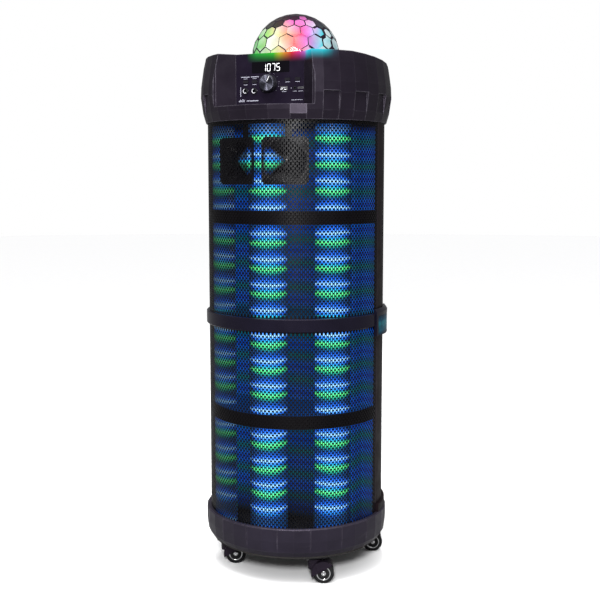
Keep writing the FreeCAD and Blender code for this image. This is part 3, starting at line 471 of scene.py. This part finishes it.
def horn_material(name, angle, lit_side):
    """Gloss black horn with a painted reflection of the nearest column: a wedge of its lamp rows glows in one
    side of it.
    """
    n = finish(Nodes(name), (0.008, 0.008, 0.010), 0.22, 0.35, grain=600, bump=0.03)
    x, y, z = n.place()
    a = math.radians(angle)
    across = n.math("ADD", n.math("MULTIPLY", x, math.cos(a)), n.math("MULTIPLY", y, math.sin(a)))
    outward = n.rise(across, 0, 28 * lit_side)
    height = n.math("ABSOLUTE", n.math("SUBTRACT", z, HORN_Z * MM))
    half_height = n.math("MULTIPLY_ADD", outward, 0.026, 0.001)
    wedge = n.math("SUBTRACT", 1.0, n.math("DIVIDE", height, half_height), clamp=True)
    rim = n.rise(n.math("ABSOLUTE", across), 42, 36)
    # painted reflection of the column's lamp rows, in a wedge narrowing to the horn's middle
    n.glow(n.blend("MULTIPLY", lamp_rows(n, 0.1), n.product(wedge, outward, rim)), 1.6)
    return n.material


def lens_material():
    """Tinted lens, lit from inside at its lower half."""
    n = Nodes("lamp_lens_tint")
    tint = [(NOISE_LOW, (0.001, 0.006, 0.014)), (NOISE_HIGH, (0.002, 0.014, 0.030))]
    n.link(n.ramp(n.noise(60.0), tint), n.shader.inputs["Base Color"])
    n.link(n.spread(n.noise(400.0), 0.18, 0.30), n.shader.inputs["Roughness"])
    n.shader.inputs["Specular IOR Level"].default_value = 0.04
    shine = n.ramp(n.rise(n.height(), 490.7, 528.7), [
        (0.0, (0.0, 0.02, 0.05)), (0.25, (0.01, 0.20, 0.30)), (0.55, (0.03, 0.42, 0.52)),
        (0.8, (0.0, 0.10, 0.20)), (1.0, (0.0, 0.03, 0.06)),
    ], "EASE")
    n.glow(n.blend("MULTIPLY", shine, n.spread(n.noise(70.0), 0.4, 1.3)), 0.26)
    return n.material


def glowing(name, colour, strength):
    """A lit surface with a slight grain in its brightness."""
    n = finish(Nodes(name), colour, 0.4, bump=0.02)
    n.glow(n.ramp(n.noise(900.0), [(0.2, tuple(c * 0.85 for c in colour)), (0.8, colour)]), strength)
    return n.material


def spun_metal(name, colour, rough, axis_xz):
    """Metal turned on a lathe about an axis along Y: fine rings and a radial highlight."""
    n = finish(Nodes(name), colour, rough, 0.5, 1.0, bump=0.0, blotch=120.0, Anisotropic=0.95)
    ring_pitch = 0.5236
    place = n.place()
    dx = n.math("SUBTRACT", place["X"], axis_xz[0] * MM)
    dz = n.math("SUBTRACT", place["Z"], axis_xz[1] * MM)
    turns = n.math("MULTIPLY", n.hypotenuse(dx, dz), 2 * math.pi / (ring_pitch * MM))
    n.bump(n.math("SINE", turns), 0.15, 0.00003)
    tangent = n.add("ShaderNodeTangent", direction_type="RADIAL", axis="Y")
    n.link(tangent.outputs["Tangent"], n.shader.inputs["Tangent"])
    return n.material


def circuit_laminate(name):
    """Green laminate with lighter tracks."""
    n = Nodes(name)
    brick = n.add("ShaderNodeTexBrick")
    n.link(n.add("ShaderNodeTexCoord").outputs["Object"], brick.inputs["Vector"])
    brick.inputs["Scale"].default_value = 120.0
    brick.inputs["Color1"].default_value = (0.01, 0.09, 0.035, 1.0)
    brick.inputs["Color2"].default_value = (0.015, 0.12, 0.05, 1.0)
    brick.inputs["Mortar"].default_value = (0.05, 0.22, 0.10, 1.0)
    n.link(brick.outputs["Color"], n.shader.inputs["Base Color"])
    n.link(n.spread(n.noise(200.0), 0.35, 0.5), n.shader.inputs["Roughness"])
    n.bump(brick.outputs["Fac"], 0.2, 0.0001)
    return n


def crystal_material():
    """Clear facets that carry the colour of the lamps under them."""
    n = Nodes("crystal_facets")
    tint = n.add("ShaderNodeAttribute", attribute_name="facet_tint").outputs["Color"]
    shaded = n.blend("MULTIPLY", tint, n.spread(n.noise(45.0), 0.75, 1.0))
    body_grey = (0.56, 0.56, 0.56, 1.0)
    n.link(n.blend("MULTIPLY", shaded, body_grey), n.shader.inputs["Base Color"])
    n.link(n.spread(n.noise(140.0), 0.03, 0.12), n.shader.inputs["Roughness"])
    n.shader.inputs["Transmission Weight"].default_value = 0.2
    n.shader.inputs["IOR"].default_value = 1.45
    n.shader.inputs["Specular IOR Level"].default_value = 0.2
    n.glow(shaded, 0.38)
    return n.material


def lamp_board_material():
    """Circuit laminate whose raised lamps shine red, green, blue and magenta round the board."""
    n = circuit_laminate("dome_lamp_board")
    x, y, z = n.place()
    turn = n.math("MULTIPLY_ADD", n.math("ARCTAN2", y, x), 0.5 / math.pi, 0.5)
    colours = n.ramp(turn, [
        (0.0, (0.1, 0.2, 1.0)), (0.17, (0.0, 1.0, 0.9)), (0.33, (0.1, 1.0, 0.1)),
        (0.5, (1.0, 0.7, 0.0)), (0.67, (1.0, 0.05, 0.05)), (0.83, (1.0, 0.1, 0.9)),
    ], "CONSTANT")
    laminate_top = 1022.2
    raised = n.math("GREATER_THAN", z, laminate_top * MM)
    n.glow(n.blend("MULTIPLY", colours, raised), 2.5)
    return n.material


# --- mesh pieces -------------------------------------------------------------
def add_piece(name, mesh, body, materials, replaces=()):
    """A piece that rides a body and may stand in for CAD nodes."""
    piece = bpy.data.objects.new(name, mesh)
    scene.collection.objects.link(piece)
    for material in materials:
        mesh.materials.append(material)
    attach(piece, body)
    if replaces:
        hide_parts(*replaces)
    return piece


def mesh_of(name, verts, faces):
    """A mesh from corners in millimetres."""
    mesh = bpy.data.meshes.new(name)
    mesh.from_pydata([tuple(c * MM for c in v) for v in verts], [], faces)
    mesh.validate()
    mesh.update()
    return mesh


def closed_sheet(polygons, outer, inner):
    """Vertices and faces of a thin sheet: polygons of keys, and each key's outer and inner point."""
    keys = sorted({k for polygon in polygons for k in polygon})
    index = {k: i for i, k in enumerate(keys)}
    verts = [outer(k) for k in keys] + [inner(k) for k in keys]
    faces, edges = [], set()
    count = len(keys)
    for polygon in polygons:
        ids = [index[k] for k in polygon]
        faces.append(ids)
        faces.append([i + count for i in reversed(ids)])
        edges.update(zip(ids, ids[1:] + ids[:1]))
    for a, b in edges:
        if (b, a) not in edges:
            faces.append([b, a, a + count, b + count])
    return verts, faces


UPPER_GRILLE_Z = (534.3, 929.0)
LOWER_GRILLE_Z = (80.0, 507.7)
GRILLE_R = 180.0
GRILLE_SHEET = 0.6
GRILLE_EDGE = 86.5     # angle of the sheet's upright edges
SLOT_COLUMNS = 135
SLOT_STEP = 1.27       # degrees from one column of slots to the next
SLOT_WIDTH = 2.9
SLOT_LENGTH = 7.0
SLOT_TIP = 1.1         # height of a slot's pointed end
SLOT_PITCH = 9.3       # from one slot to the next below it, before fitting whole rows


def perforated_grille(name, node, z0, z1):
    """Curved sheet with upright slots in staggered columns and a solid border."""
    margin = 1.0
    travel = z1 - z0 - SLOT_LENGTH - 2 * margin
    rows = int(travel / SLOT_PITCH + 0.5)
    pitch = travel / (rows - 0.5)
    half = math.degrees(SLOT_WIDTH / 2 / GRILLE_R)
    tip = SLOT_LENGTH / 2
    side = tip - SLOT_TIP
    corners = {"T": (0, tip), "B": (0, -tip), "UR": (half, side), "LR": (half, -side),
               "UL": (-half, side), "LL": (-half, -side)}

    def corner(column, row, which):
        """A slot's corner; a slot beyond the last one is flattened onto the border."""
        da, dz = corners[which]
        angle = (column - (SLOT_COLUMNS - 1) / 2) * SLOT_STEP + da
        z = z0 + margin + tip + (row + (column % 2) / 2) * pitch + dz
        if column < 0 or column >= SLOT_COLUMNS:
            angle = math.copysign(GRILLE_EDGE, angle)
        if row < 0:
            z = z0
        if row >= rows:
            z = z1
        return (round(angle, 4), round(min(max(z, z0), z1), 3))

    polygons = []
    for column in range(-1, SLOT_COLUMNS + 1):
        for row in range(-1, rows):
            beside = row + column % 2
            right = [corner(column, row, "T"), corner(column, row, "UR"),
                     corner(column + 1, beside, "LL"), corner(column + 1, beside, "UL"),
                     corner(column, row + 1, "LR"), corner(column, row + 1, "B")]
            left = [corner(column, row, "T"), corner(column, row + 1, "B"),
                    corner(column, row + 1, "LL"), corner(column - 1, beside, "UR"),
                    corner(column - 1, beside, "LR"), corner(column, row, "UL")]
            for web, edge_column in ((right, SLOT_COLUMNS), (left, -1)):
                distinct = [k for i, k in enumerate(web) if k != web[i - 1]]
                flat = len({k[0] for k in distinct}) < 2 or len({k[1] for k in distinct}) < 2
                if column != edge_column and len(distinct) > 2 and not flat:
                    polygons.append(distinct)
    verts, faces = closed_sheet(polygons, lambda k: polar(GRILLE_R, *k),
                                lambda k: polar(GRILLE_R - GRILLE_SHEET, *k))
    steel = surface(name + "_paint", (0.0022, 0.0018, 0.0026), 0.34, 0.13, grain=3000, bump=0.2)
    add_piece(name, mesh_of(name, verts, faces), "cabinet", [steel], [node])


DOME_ROWS = [0, 16, 32, 46, 58, 69, 79]    # elevations of the facets' rows
DOME_FACETS = 18                           # in each row
DOME_CORE = 0.93                           # size of the hollow in the dome
FACET_INSET = 1.9                          # from the sphere in to a facet's middle
CREST_INSET = 0.6                          # and to the flat crest
SEAM_DEPTH = 0.25
DARK_ABOVE = 0.70                          # many facets higher than this are dark
DARK_CHANCE = 0.65
DARK_SHADE = 0.07
# Colours from the viewer's left (-1) to the right (1), and the one on top.
DOME_HUES = [
    (-1.0, (0.05, 0.75, 0.12)), (-0.6, (0.45, 0.80, 0.25)), (-0.35, (0.95, 0.75, 0.35)),
    (-0.1, (0.95, 0.16, 0.12)), (0.1, (0.95, 0.10, 0.26)), (0.25, (0.80, 0.16, 0.70)),
    (0.42, (0.45, 0.55, 0.95)), (0.6, (0.05, 0.65, 0.70)), (1.0, (0.02, 0.40, 0.50)),
]
DOME_TOP_HUE = (0.85, 0.10, 0.60)


def across_view(direction):
    """How far a direction points to the viewer's right, from -1 to 1."""
    a = math.radians(VIEW_AZIMUTH)
    return direction.x * math.cos(a) + direction.y * math.sin(a)


def mixed(first, second, part):
    return tuple(p + (q - p) * part for p, q in zip(first, second))


def share(value, start, end):
    """How far a value has come from start to end, from 0 to 1."""
    return min(1.0, max(0.0, (value - start) / (end - start)))


def facet_colour(direction, white):
    """Green at the viewer's left, then yellow, red, magenta and cyan; dark magenta on top."""
    across = across_view(direction)
    hue = DOME_HUES[-1][1]
    for (start, left_hue), (end, right_hue) in zip(DOME_HUES, DOME_HUES[1:]):
        if start <= across <= end:
            hue = mixed(left_hue, right_hue, share(across, start, end))
            break
    middle = max(0.0, 1.0 - 1.4 * abs(across - 0.05))
    hue = mixed(hue, DOME_TOP_HUE, middle * share(direction.z, 0.50, 0.70))
    pale = mixed(hue, (1.0, 1.0, 1.0), white * (1.0 - 0.80 * middle))
    brightness = 0.85 - 0.55 * share(direction.z, 0.80, 0.92)
    return tuple(p * brightness for p in pale)


def seam_is_dark(direction, chance):
    """Dark seams crowd the sides and the top; those that face the viewer are mostly clear."""
    return chance < (0.97 if direction.z > 0.60 else 0.15 + 1.05 * abs(across_view(direction)))


def cut_dome(bm, centre):
    """Cut a block down by one plane for each facet, and open it below."""
    bmesh.ops.create_cube(bm, size=0.5, matrix=Matrix.Translation(centre))
    planes = [(Vector((0.0, 0.0, -1.0)), 0.0), (Vector((0.0, 0.0, 1.0)), DOME_R - CREST_INSET)]
    for row, elevation in enumerate(DOME_ROWS):
        e = math.radians(elevation)
        for i in range(DOME_FACETS):
            a = 2 * math.pi * (i + (row % 2) / 2) / DOME_FACETS
            outward = Vector((math.sin(a) * math.cos(e), -math.cos(a) * math.cos(e), math.sin(e)))
            planes.append((outward, DOME_R - FACET_INSET))
    for direction, distance in planes:
        everything = bm.verts[:] + bm.edges[:] + bm.faces[:]
        cut = bmesh.ops.bisect_plane(bm, geom=everything, plane_co=centre + direction * distance * MM,
                                     plane_no=direction, clear_outer=True)
        rim = [g for g in cut["geom_cut"] if isinstance(g, bmesh.types.BMEdge)]
        if rim:
            bmesh.ops.edgeloop_fill(bm, edges=rim)
    bmesh.ops.remove_doubles(bm, verts=bm.verts[:], dist=0.00002)
    bmesh.ops.recalc_face_normals(bm, faces=bm.faces[:])
    below = [f for f in bm.faces if f.normal.z < -0.9]
    bmesh.ops.delete(bm, geom=below, context="FACES_ONLY")


def hollow_out(bm, centre):
    """Put a smaller copy inside, turned inwards, and join the two along their rims."""
    copy = bmesh.ops.duplicate(bm, geom=bm.verts[:] + bm.edges[:] + bm.faces[:])
    inner_verts = [g for g in copy["geom"] if isinstance(g, bmesh.types.BMVert)]
    inner_faces = [g for g in copy["geom"] if isinstance(g, bmesh.types.BMFace)]
    for v in inner_verts:
        v.co = centre + (v.co - centre) * DOME_CORE
    bmesh.ops.reverse_faces(bm, faces=inner_faces)
    rims = [e for e in bm.edges if e.is_boundary]
    bmesh.ops.bridge_loops(bm, edges=rims)


def tint_facets(bm, centre, generator):
    """Give each facet its own brightness, and each of its corners the colour of its place."""
    tints = bm.loops.layers.float_color.new("facet_tint")
    for face in bm.faces:
        bright = generator.uniform(0.0, 0.8)
        high = (face.calc_center_median() - centre).normalized().z > DARK_ABOVE
        shade = DARK_SHADE if high and generator.random() < DARK_CHANCE else 1.0
        for loop in face.loops:
            direction = (loop.vert.co - centre).normalized()
            white = min(1.0, max(0.0, bright + generator.uniform(-0.40, 0.40)))
            loop[tints] = (*(shade * c for c in facet_colour(direction, white)), 1.0)


def add_seams(bm, outer, centre, generator):
    """Frame each outer facet with sunken strips, wider at the sides."""
    for face in outer:
        toward = (face.calc_center_median() - centre).normalized()
        widest = 2.6 if toward.z > 0.66 else 1.5 + 4.0 * abs(toward.x)
        width = generator.uniform(1.2, widest) * MM
        seam = bmesh.ops.inset_individual(bm, faces=[face], thickness=width, depth=-SEAM_DEPTH * MM)
        for strip in seam["faces"]:
            direction = (strip.calc_center_median() - centre).normalized()
            strip.material_index = int(seam_is_dark(direction, generator.random()))


def dome_piece():
    """Crystal dome: flat facets, hollow, with seams between them."""
    centre = Vector((0.0, 0.0, DOME_Z * MM))
    generator = random.Random(7)
    bm = bmesh.new()
    cut_dome(bm, centre)
    outer = bm.faces[:]
    hollow_out(bm, centre)
    tint_facets(bm, centre, generator)
    add_seams(bm, outer, centre, generator)
    mesh = bpy.data.meshes.new("dome_facets")
    bm.to_mesh(mesh)
    bm.free()
    seam_material = surface("crystal_seams", (0.012, 0.008, 0.015), 0.2, 0.1, bump=0.05)
    add_piece("dome_facets", mesh, "dome", [crystal_material(), seam_material], ["crystal_dome"])


def slab(outline, y0, y1):
    """A flat shape in X and Z, from y0 (front) to y1 (back): vertices and faces."""
    count = len(outline)
    verts = [(x, y0, z) for x, z in outline] + [(x, y1, z) for x, z in outline]
    faces = [list(range(count)), list(range(2 * count - 1, count - 1, -1))]
    for i in range(count):
        j = (i + 1) % count
        faces.append([j, i, i + count, j + count])
    return verts, faces


def bar(x0, x1, z0, z1):
    """The outline of an upright rectangle."""
    return [(x0, z0), (x1, z0), (x1, z1), (x0, z1)]


def arc_band(cx, cz, radius, width, start, end, steps=10):
    """A curved line in X and Z; angles from +X, anticlockwise."""
    points = []
    for r, order in ((radius + width / 2, range(steps + 1)), (radius - width / 2, range(steps, -1, -1))):
        for i in order:
            a = math.radians(start + (end - start) * i / steps)
            points.append((cx + r * math.cos(a), cz + r * math.sin(a)))
    return points


def group(shapes):
    """Several shapes' vertices and faces as one."""
    verts, faces = [], []
    for more_verts, more_faces in shapes:
        base = len(verts)
        verts += more_verts
        faces += [[i + base for i in face] for face in more_faces]
    return verts, faces


SEGMENTS = {"0": "abcdef", "1": "bc", "5": "afgcd", "7": "abc"}    # lit in each figure


def digit(figure, x, z, width=7.2, height=14.2, thick=0.95, slant=0.06):
    """One seven-segment figure, its lower left corner at x, z."""
    half, mid, gap = thick / 2, height / 2, 0.25
    x1, z1 = width, height

    def level(at):
        return [(half + gap, at), (thick + gap, at + half), (x1 - thick - gap, at + half),
                (x1 - half - gap, at), (x1 - thick - gap, at - half), (thick + gap, at - half)]

    def upright(at, low, high):
        return [(at, low + gap), (at + half, low + half + gap), (at + half, high - half - gap),
                (at, high - gap), (at - half, high - half - gap), (at - half, low + half + gap)]

    shapes = {
        "a": level(z1 - half), "g": level(mid), "d": level(half),
        "f": upright(half, mid, z1 - half), "b": upright(x1 - half, mid, z1 - half),
        "e": upright(half, half, mid), "c": upright(x1 - half, half, mid),
    }
    outlines = []
    for name in SEGMENTS[figure]:
        points = [(x + px + slant * pz, z + pz) for px, pz in shapes[name]]
        if name in "agd":
            points.reverse()
        outlines.append(points)
    return outlines


def display_digits():
    """Lit figures on the display window."""
    left, pitch, foot = -15.2, 9.8, 1006.4
    shapes = []
    for i, figure in enumerate("1075"):
        for outline in digit(figure, left + pitch * i, foot):
            shapes.append(slab(outline, PANEL_Y - 0.45, PANEL_Y - 0.2))
    mesh = mesh_of("display_digits", *group(shapes))
    light = glowing("digit_light", (0.95, 0.96, 1.0), 0.8)
    add_piece("display_digits", mesh, "cabinet", [light])


def panel_marks():
    """Generic printed legends: plain bars, and ticks round the knob, with no lettering."""
    ticks, tick_size, tick_radius = 11, 0.8, 20.2
    # over and beside the microphone jacks
    outlines = [bar(-61, -43, 996.2, 997.6), bar(-40, -23, 996.2, 997.6)]
    outlines += [bar(x, x + 8.5, 981.8, 982.7) for x in (-55.5, -36.5)]
    outlines += [bar(x, x + 8.5, 993.2, 994.0) for x in (-55.5, -36.5)]
    outlines += [bar(-62.6, -61.4, 960, 978)]
    # over and under the sockets on the right
    outlines += [bar(33, 42.5, 984.2, 985.2), bar(54, 63, 984.2, 985.2)]
    outlines += [bar(26, 35, 966.4, 967.2), bar(49, 57, 966.4, 967.2), bar(60, 70, 966.4, 967.2)]
    # along the foot of the panel, right and then left
    outlines += [bar(46 + 3.4 * i, 48.4 + 3.4 * i, 950.0, 951.2) for i in range(7)]
    heights = [2.5, 4.5, 3.2, 5.4, 3.8]
    outlines += [bar(-66 + 2.6 * i, -64.4 + 2.6 * i, 949.6, 949.6 + h) for i, h in enumerate(heights)]
    outlines += [bar(-49, -24, 950.6, 952.2)]
    # between two sockets
    outlines.append(bar(44.3, 45.7, 972.3, 973.7))
    for i in range(ticks):
        a = math.radians(225 - 27 * i)
        x = KNOB_AT[0] + tick_radius * math.cos(a)
        z = KNOB_AT[1] + tick_radius * math.sin(a)
        half = tick_size / 2
        outlines.append(bar(x - half, x + half, z - half, z + half))
    shapes = [slab(outline, PANEL_Y - 0.12, PANEL_Y) for outline in outlines]
    ink = surface("legend_ink", (0.30, 0.30, 0.36), 0.55, bump=0.05)
    add_piece("panel_legends", mesh_of("panel_legends", *group(shapes)), "cabinet", [ink])


# Heights of the rib's pieces, clear of the dividers and the tweeters.
RIB_SPANS = ((81, 316), (344, 507), (535, 713), (741, 785), (888, 905))


def column_rib():
    """Board behind the centre light column that closes the view from side to side."""
    half_thickness, gap = 1.5, 0.5
    front, back = -131.6, -95.0
    shapes = []
    for z0, z1 in RIB_SPANS:
        outline = bar(-half_thickness, half_thickness, z0 + gap, z1 - gap)
        shapes.append(slab(outline, front, back))
    mesh = recalculated(mesh_of("column_rib", *group(shapes)))
    # the board carries the columns' light as painted glow
    wood = painted_column_light("rib_board", (0.012, 0.012, 0.013), 0.7)
    add_piece("column_rib", mesh, "cabinet", [wood])


def jack_crescent_highlights():
    """Painted highlights: light open rings round the mouths of the jacks, crescents where the rims catch the
    light.
    """
    radius, width, front, back = 3.9, 1.1, PANEL_Y - 3.75, PANEL_Y - 3.5
    outlines = [arc_band(x, z, radius, width, 110, 300, 18) for x, z in JACKS_AT]
    shapes = [slab(outline, front, back) for outline in outlines]
    mesh = recalculated(mesh_of("jack_crescent_highlights", *group(shapes)))
    # light grey ink for the painted highlights
    highlight_ink = surface("jack_highlight_ink", (0.62, 0.62, 0.66), 0.35, 0.5, grain=900, bump=0.05)
    add_piece("jack_crescent_highlights", mesh, "cabinet", [highlight_ink])


def ring_solid(profile, steps, place):
    """A closed (radius, along) outline turned round an axis; place puts (along, across, up) in the frame."""
    verts, faces = [], []
    count = len(profile)
    for i in range(steps):
        a = 2 * math.pi * i / steps
        verts += [place(along, r * math.cos(a), r * math.sin(a)) for r, along in profile]
        base, after = i * count, ((i + 1) % steps) * count
        for k in range(count):
            m = (k + 1) % count
            faces.append([base + k, base + m, after + m, after + k])
    return verts, faces


def recalculated(mesh):
    """The same mesh with all its faces turned outwards."""
    bm = bmesh.new()
    bm.from_mesh(mesh)
    bmesh.ops.recalc_face_normals(bm, faces=bm.faces[:])
    bm.to_mesh(mesh)
    bm.free()
    return mesh


# Outlines of turned pieces, as (radius, distance along the axis).
KNOB_CAP = [(14.9, 0.25), (14.9, -0.25), (14.2, -0.45), (0.6, -0.45), (0.6, 0.25)]
WHEEL_RING = [(14.2, 13.5), (14.0, 13.9), (13.2, 14.1), (12.2, 13.9), (11.9, 13.5)]
AXLE_CAP = [(5.3, 13.5), (5.2, 14.0), (4.2, 14.8), (2.6, 15.3), (0.3, 15.5), (0.3, 13.5)]


def knob_face():
    """Spun cap on the front of the knob."""
    def place(along, across, up):
        return (KNOB_AT[0] + across, KNOB_FRONT_Y + along, KNOB_AT[1] + up)

    mesh = recalculated(mesh_of("knob_face", *ring_solid(KNOB_CAP, 64, place)))
    metal = spun_metal("knob_spun_face", (0.10, 0.10, 0.13), 0.50, KNOB_AT)
    add_piece("knob_face", mesh, "volume_knob", [metal])


def knob_pointer():
    """A white line on the knob's cap."""
    turn = math.radians(62)
    direction = Vector((math.cos(turn), math.sin(turn)))
    side = Vector((-direction.y, direction.x)) * 0.55
    start, end = direction * 3.0, direction * 13.6
    corners = (start - side, end - side, end + side, start + side)
    outline = [(KNOB_AT[0] + p.x, KNOB_AT[1] + p.y) for p in corners]
    line = slab(outline, KNOB_FRONT_Y - 0.7, KNOB_FRONT_Y - 0.45)
    ink = surface("pointer_ink", (0.8, 0.8, 0.82), 0.4, bump=0.05)
    mesh = recalculated(mesh_of("knob_pointer", *line))
    add_piece("knob_pointer", mesh, "volume_knob", [ink])


CASTERS = {"front_right": 37.0, "front_left": -53.0, "rear_right": 127.0, "rear_left": -143.0}
CASTER_R = 150.0       # from the middle of the object to a caster's swivel axis
CASTER_TRAIL = 19.0    # from there to the wheel's axle
CASTER_HEADING = 23.5  # the way the wheels stand at rest
AXLE_Z = 21.0


def caster_trims(chrome):
    """Plated ring and axle cap on both faces of each wheel."""
    forward = Vector(polar(1.0, 90 + CASTER_HEADING, 0.0))
    axle = Vector(polar(1.0, 180 + CASTER_HEADING, 0.0))
    for name, angle in CASTERS.items():
        centre = Vector(polar(CASTER_R, angle, AXLE_Z)) + forward * CASTER_TRAIL
        shapes = []
        for side in (-1, 1):
            def place(along, across, up, side=side):
                point = centre + axle * side * along + forward * across
                return (point.x, point.y, point.z + up)

            shapes.append(ring_solid(WHEEL_RING, 48, place))
            shapes.append(ring_solid(AXLE_CAP, 32, place))
        mesh = recalculated(mesh_of("caster_trim_" + name, *group(shapes)))
        for polygon in mesh.polygons:
            polygon.use_smooth = True
        add_piece("caster_trim_" + name, mesh, "caster_wheel_" + name, [chrome])


def rear_louvres():
    """Vent louvres on the rear panel."""
    lowest, pitch, height = 700, 7.5, 2.6
    shapes = []
    for i in range(12):
        z = lowest + pitch * i
        shapes.append(slab(bar(14, 62, z, z + height), REAR_PANEL_Y + 1.1, REAR_PANEL_Y))
    paint_black = surface("louvre_paint", (0.045, 0.045, 0.048), 0.45)
    mesh = recalculated(mesh_of("rear_louvres", *group(shapes)))
    add_piece("rear_louvres", mesh, "cabinet", [paint_black])


def rear_legends():
    """Plain bars for the rear panel's printing, with a framed rating plate; no lettering."""
    outlines = [bar(12, 66, 652, 652.8), bar(12, 66, 684, 684.8)]
    outlines += [bar(12, 12.8, 652, 684.8), bar(65.2, 66, 652, 684.8)]
    outlines += [bar(18, 60 - 6 * (i % 3), 658 + 5 * i, 659.4 + 5 * i) for i in range(5)]
    outlines += [bar(-70, -46.5, 708, 709.5), bar(-58, -38, 610, 611.2)]
    shapes = [slab(outline, REAR_PANEL_Y + 0.12, REAR_PANEL_Y) for outline in outlines]
    ink = surface("rear_ink", (0.5, 0.5, 0.52), 0.5, bump=0.05)
    mesh = recalculated(mesh_of("rear_legends", *group(shapes)))
    add_piece("rear_legends", mesh, "cabinet", [ink])


# --- build --------------------------------------------------------------------
make_camera()
make_surround()
make_lights()
make_floor()

black_plastic = moulded_plastic("black_moulding", (0.009, 0.008, 0.010), 0.42)
gloss_black = surface("gloss_black", (0.0060, 0.0052, 0.0110), 0.2, level=0.16, grain=500, bump=0.02,
                      spread=0.04, Specular_Tint=VIOLET)
chrome = surface("plated_steel", (0.80, 0.80, 0.82), 0.14, level=0.5, metallic=1.0, grain=800,
                 bump=0.03, spread=0.05)
zinc = surface("zinc_plate", (0.40, 0.40, 0.42), 0.32, level=0.5, metallic=1.0, grain=700, bump=0.1)
jack_black = surface("jack_nylon", (0.010, 0.010, 0.012), 0.16, level=0.5, grain=900, bump=0.03)
painted_steel = surface("black_paint", (0.012, 0.012, 0.013), 0.45, grain=1800, bump=0.3)
board = surface("painted_board", (0.035, 0.033, 0.032), 0.7, level=0.1, grain=500, bump=0.4, depth=0.0004)

paint(crown_material(), "crown_shell")
# the skirt's edges carry painted highlights
paint(moulded_plastic("skirt_satin", (0.0155, 0.0130, 0.0210), 0.38, level=0.22, edge_highlight=(0.060, 0.052, 0.070)),
      "base_skirt")
paint(painted_column_light("cabinet_skin", (0.0080, 0.0045, 0.0058), 0.5), "rear_cabinet")
paint(surface("trim_strip", (0.010, 0.006, 0.009), 0.4, level=0.12), "grille_edge_trims")
paint(gloss_black, "joining_band", "side_lamp_housings")
paint(lens_material(), "side_lamp_lenses")
paint(black_plastic, "crown_deck", "dome_plinth", "bass_port", "power_inlet")
paint(panel_material(), "control_panel")
paint(surface("smoked_window", (0.002, 0.0015, 0.003), 0.08, grain=300, bump=0.01, spread=0.03),
      "display_window")
paint(chrome, "usb_port")
paint(jack_black, "mic_jacks", "aux_jack")
paint(zinc, "card_slot", "cabinet_screws")
paint(painted_steel, "caster_plates")
paint(surface("knob_anodised", (0.012, 0.012, 0.016), 0.3, level=0.3, grain=1200, bump=0.1), "volume_knob")
paint(surface("gloss_keys", (0.009, 0.008, 0.011), 0.25, level=0.25, bump=0.04),
      "mode_button", "light_button", "previous_button", "next_button", "power_switch")
paint(light_column("light_left", -TUBE_ANGLE, facing=-15.0, strength=0.50), "light_tube_left")
paint(light_column("light_centre", 0.0, facing=VIEW_AZIMUTH, strength=1.45), "light_tube_centre")
paint(light_column("light_right", TUBE_ANGLE, facing=VIEW_AZIMUTH, strength=1.45), "light_tube_right")
paint(painted_column_light("lamp_boards", (0.02, 0.03, 0.03), 0.6), "led_strips")
paint(painted_column_light("divider_board", (0.004, 0.003, 0.004), 0.7, strength=0.9, reach=173.0), "section_dividers")
paint(painted_column_light("baffle_board", (0.012, 0.012, 0.013), 0.7, strength=1.15), "speaker_baffle")
paint(board, "top_board", "base_board")
paint(horn_material("horn_left", -19.0, lit_side=1), "tweeter_left")
paint(horn_material("horn_right", 16.6, lit_side=-1), "tweeter_right")
paint(surface("panel_powder_coat", (0.022, 0.022, 0.024), 0.5, grain=1800, bump=0.3), "rear_panel")
paint(painted_column_light("chassis_paint", (0.010, 0.010, 0.011), 0.45, strength=1.1, back=30.0), "woofer_chassis")
paint(painted_column_light("surround_rubber", (0.010, 0.010, 0.010), 0.6, strength=1.1, back=30.0), "woofer_surrounds")
paint(painted_column_light("paper_cone", (0.012, 0.012, 0.013), 0.75, strength=1.2, back=60.0),
      "upper_woofer_cone", "lower_woofer_cone")
paint(circuit_laminate("circuit_laminate").material, "control_board", "amplifier_board")
paint(lamp_board_material(), "dome_led_board")
paint(surface("extruded_aluminium", (0.55, 0.56, 0.58), 0.35, level=0.5, metallic=1.0, stretch=(1, 1, 12)),
      "heat_sink", "power_supply")
paint(surface("shrink_wrap", (0.03, 0.07, 0.20), 0.3, level=0.4, bump=0.1), "battery_pack")
paint(surface("rolled_steel", (0.45, 0.45, 0.47), 0.3, level=0.5, metallic=1.0), "dome_motor", "dome_spindle")
for caster_name in CASTERS:
    paint(moulded_plastic("fork_nylon_" + caster_name, (0.009, 0.006, 0.011), 0.3, level=0.3),
          "caster_fork_" + caster_name)
    paint(surface("tyre_" + caster_name, (0.010, 0.010, 0.011), 0.5, grain=1500, bump=0.2),
          "caster_wheel_" + caster_name)

soften(["crown_shell", "base_skirt"], 0.9)

perforated_grille("upper_grille_sheet", "upper_grille", *UPPER_GRILLE_Z)
perforated_grille("lower_grille_sheet", "lower_grille", *LOWER_GRILLE_Z)
dome_piece()
display_digits()
panel_marks()
jack_crescent_highlights()
column_rib()
knob_face()
knob_pointer()
caster_trims(chrome)
rear_louvres()
rear_legends()
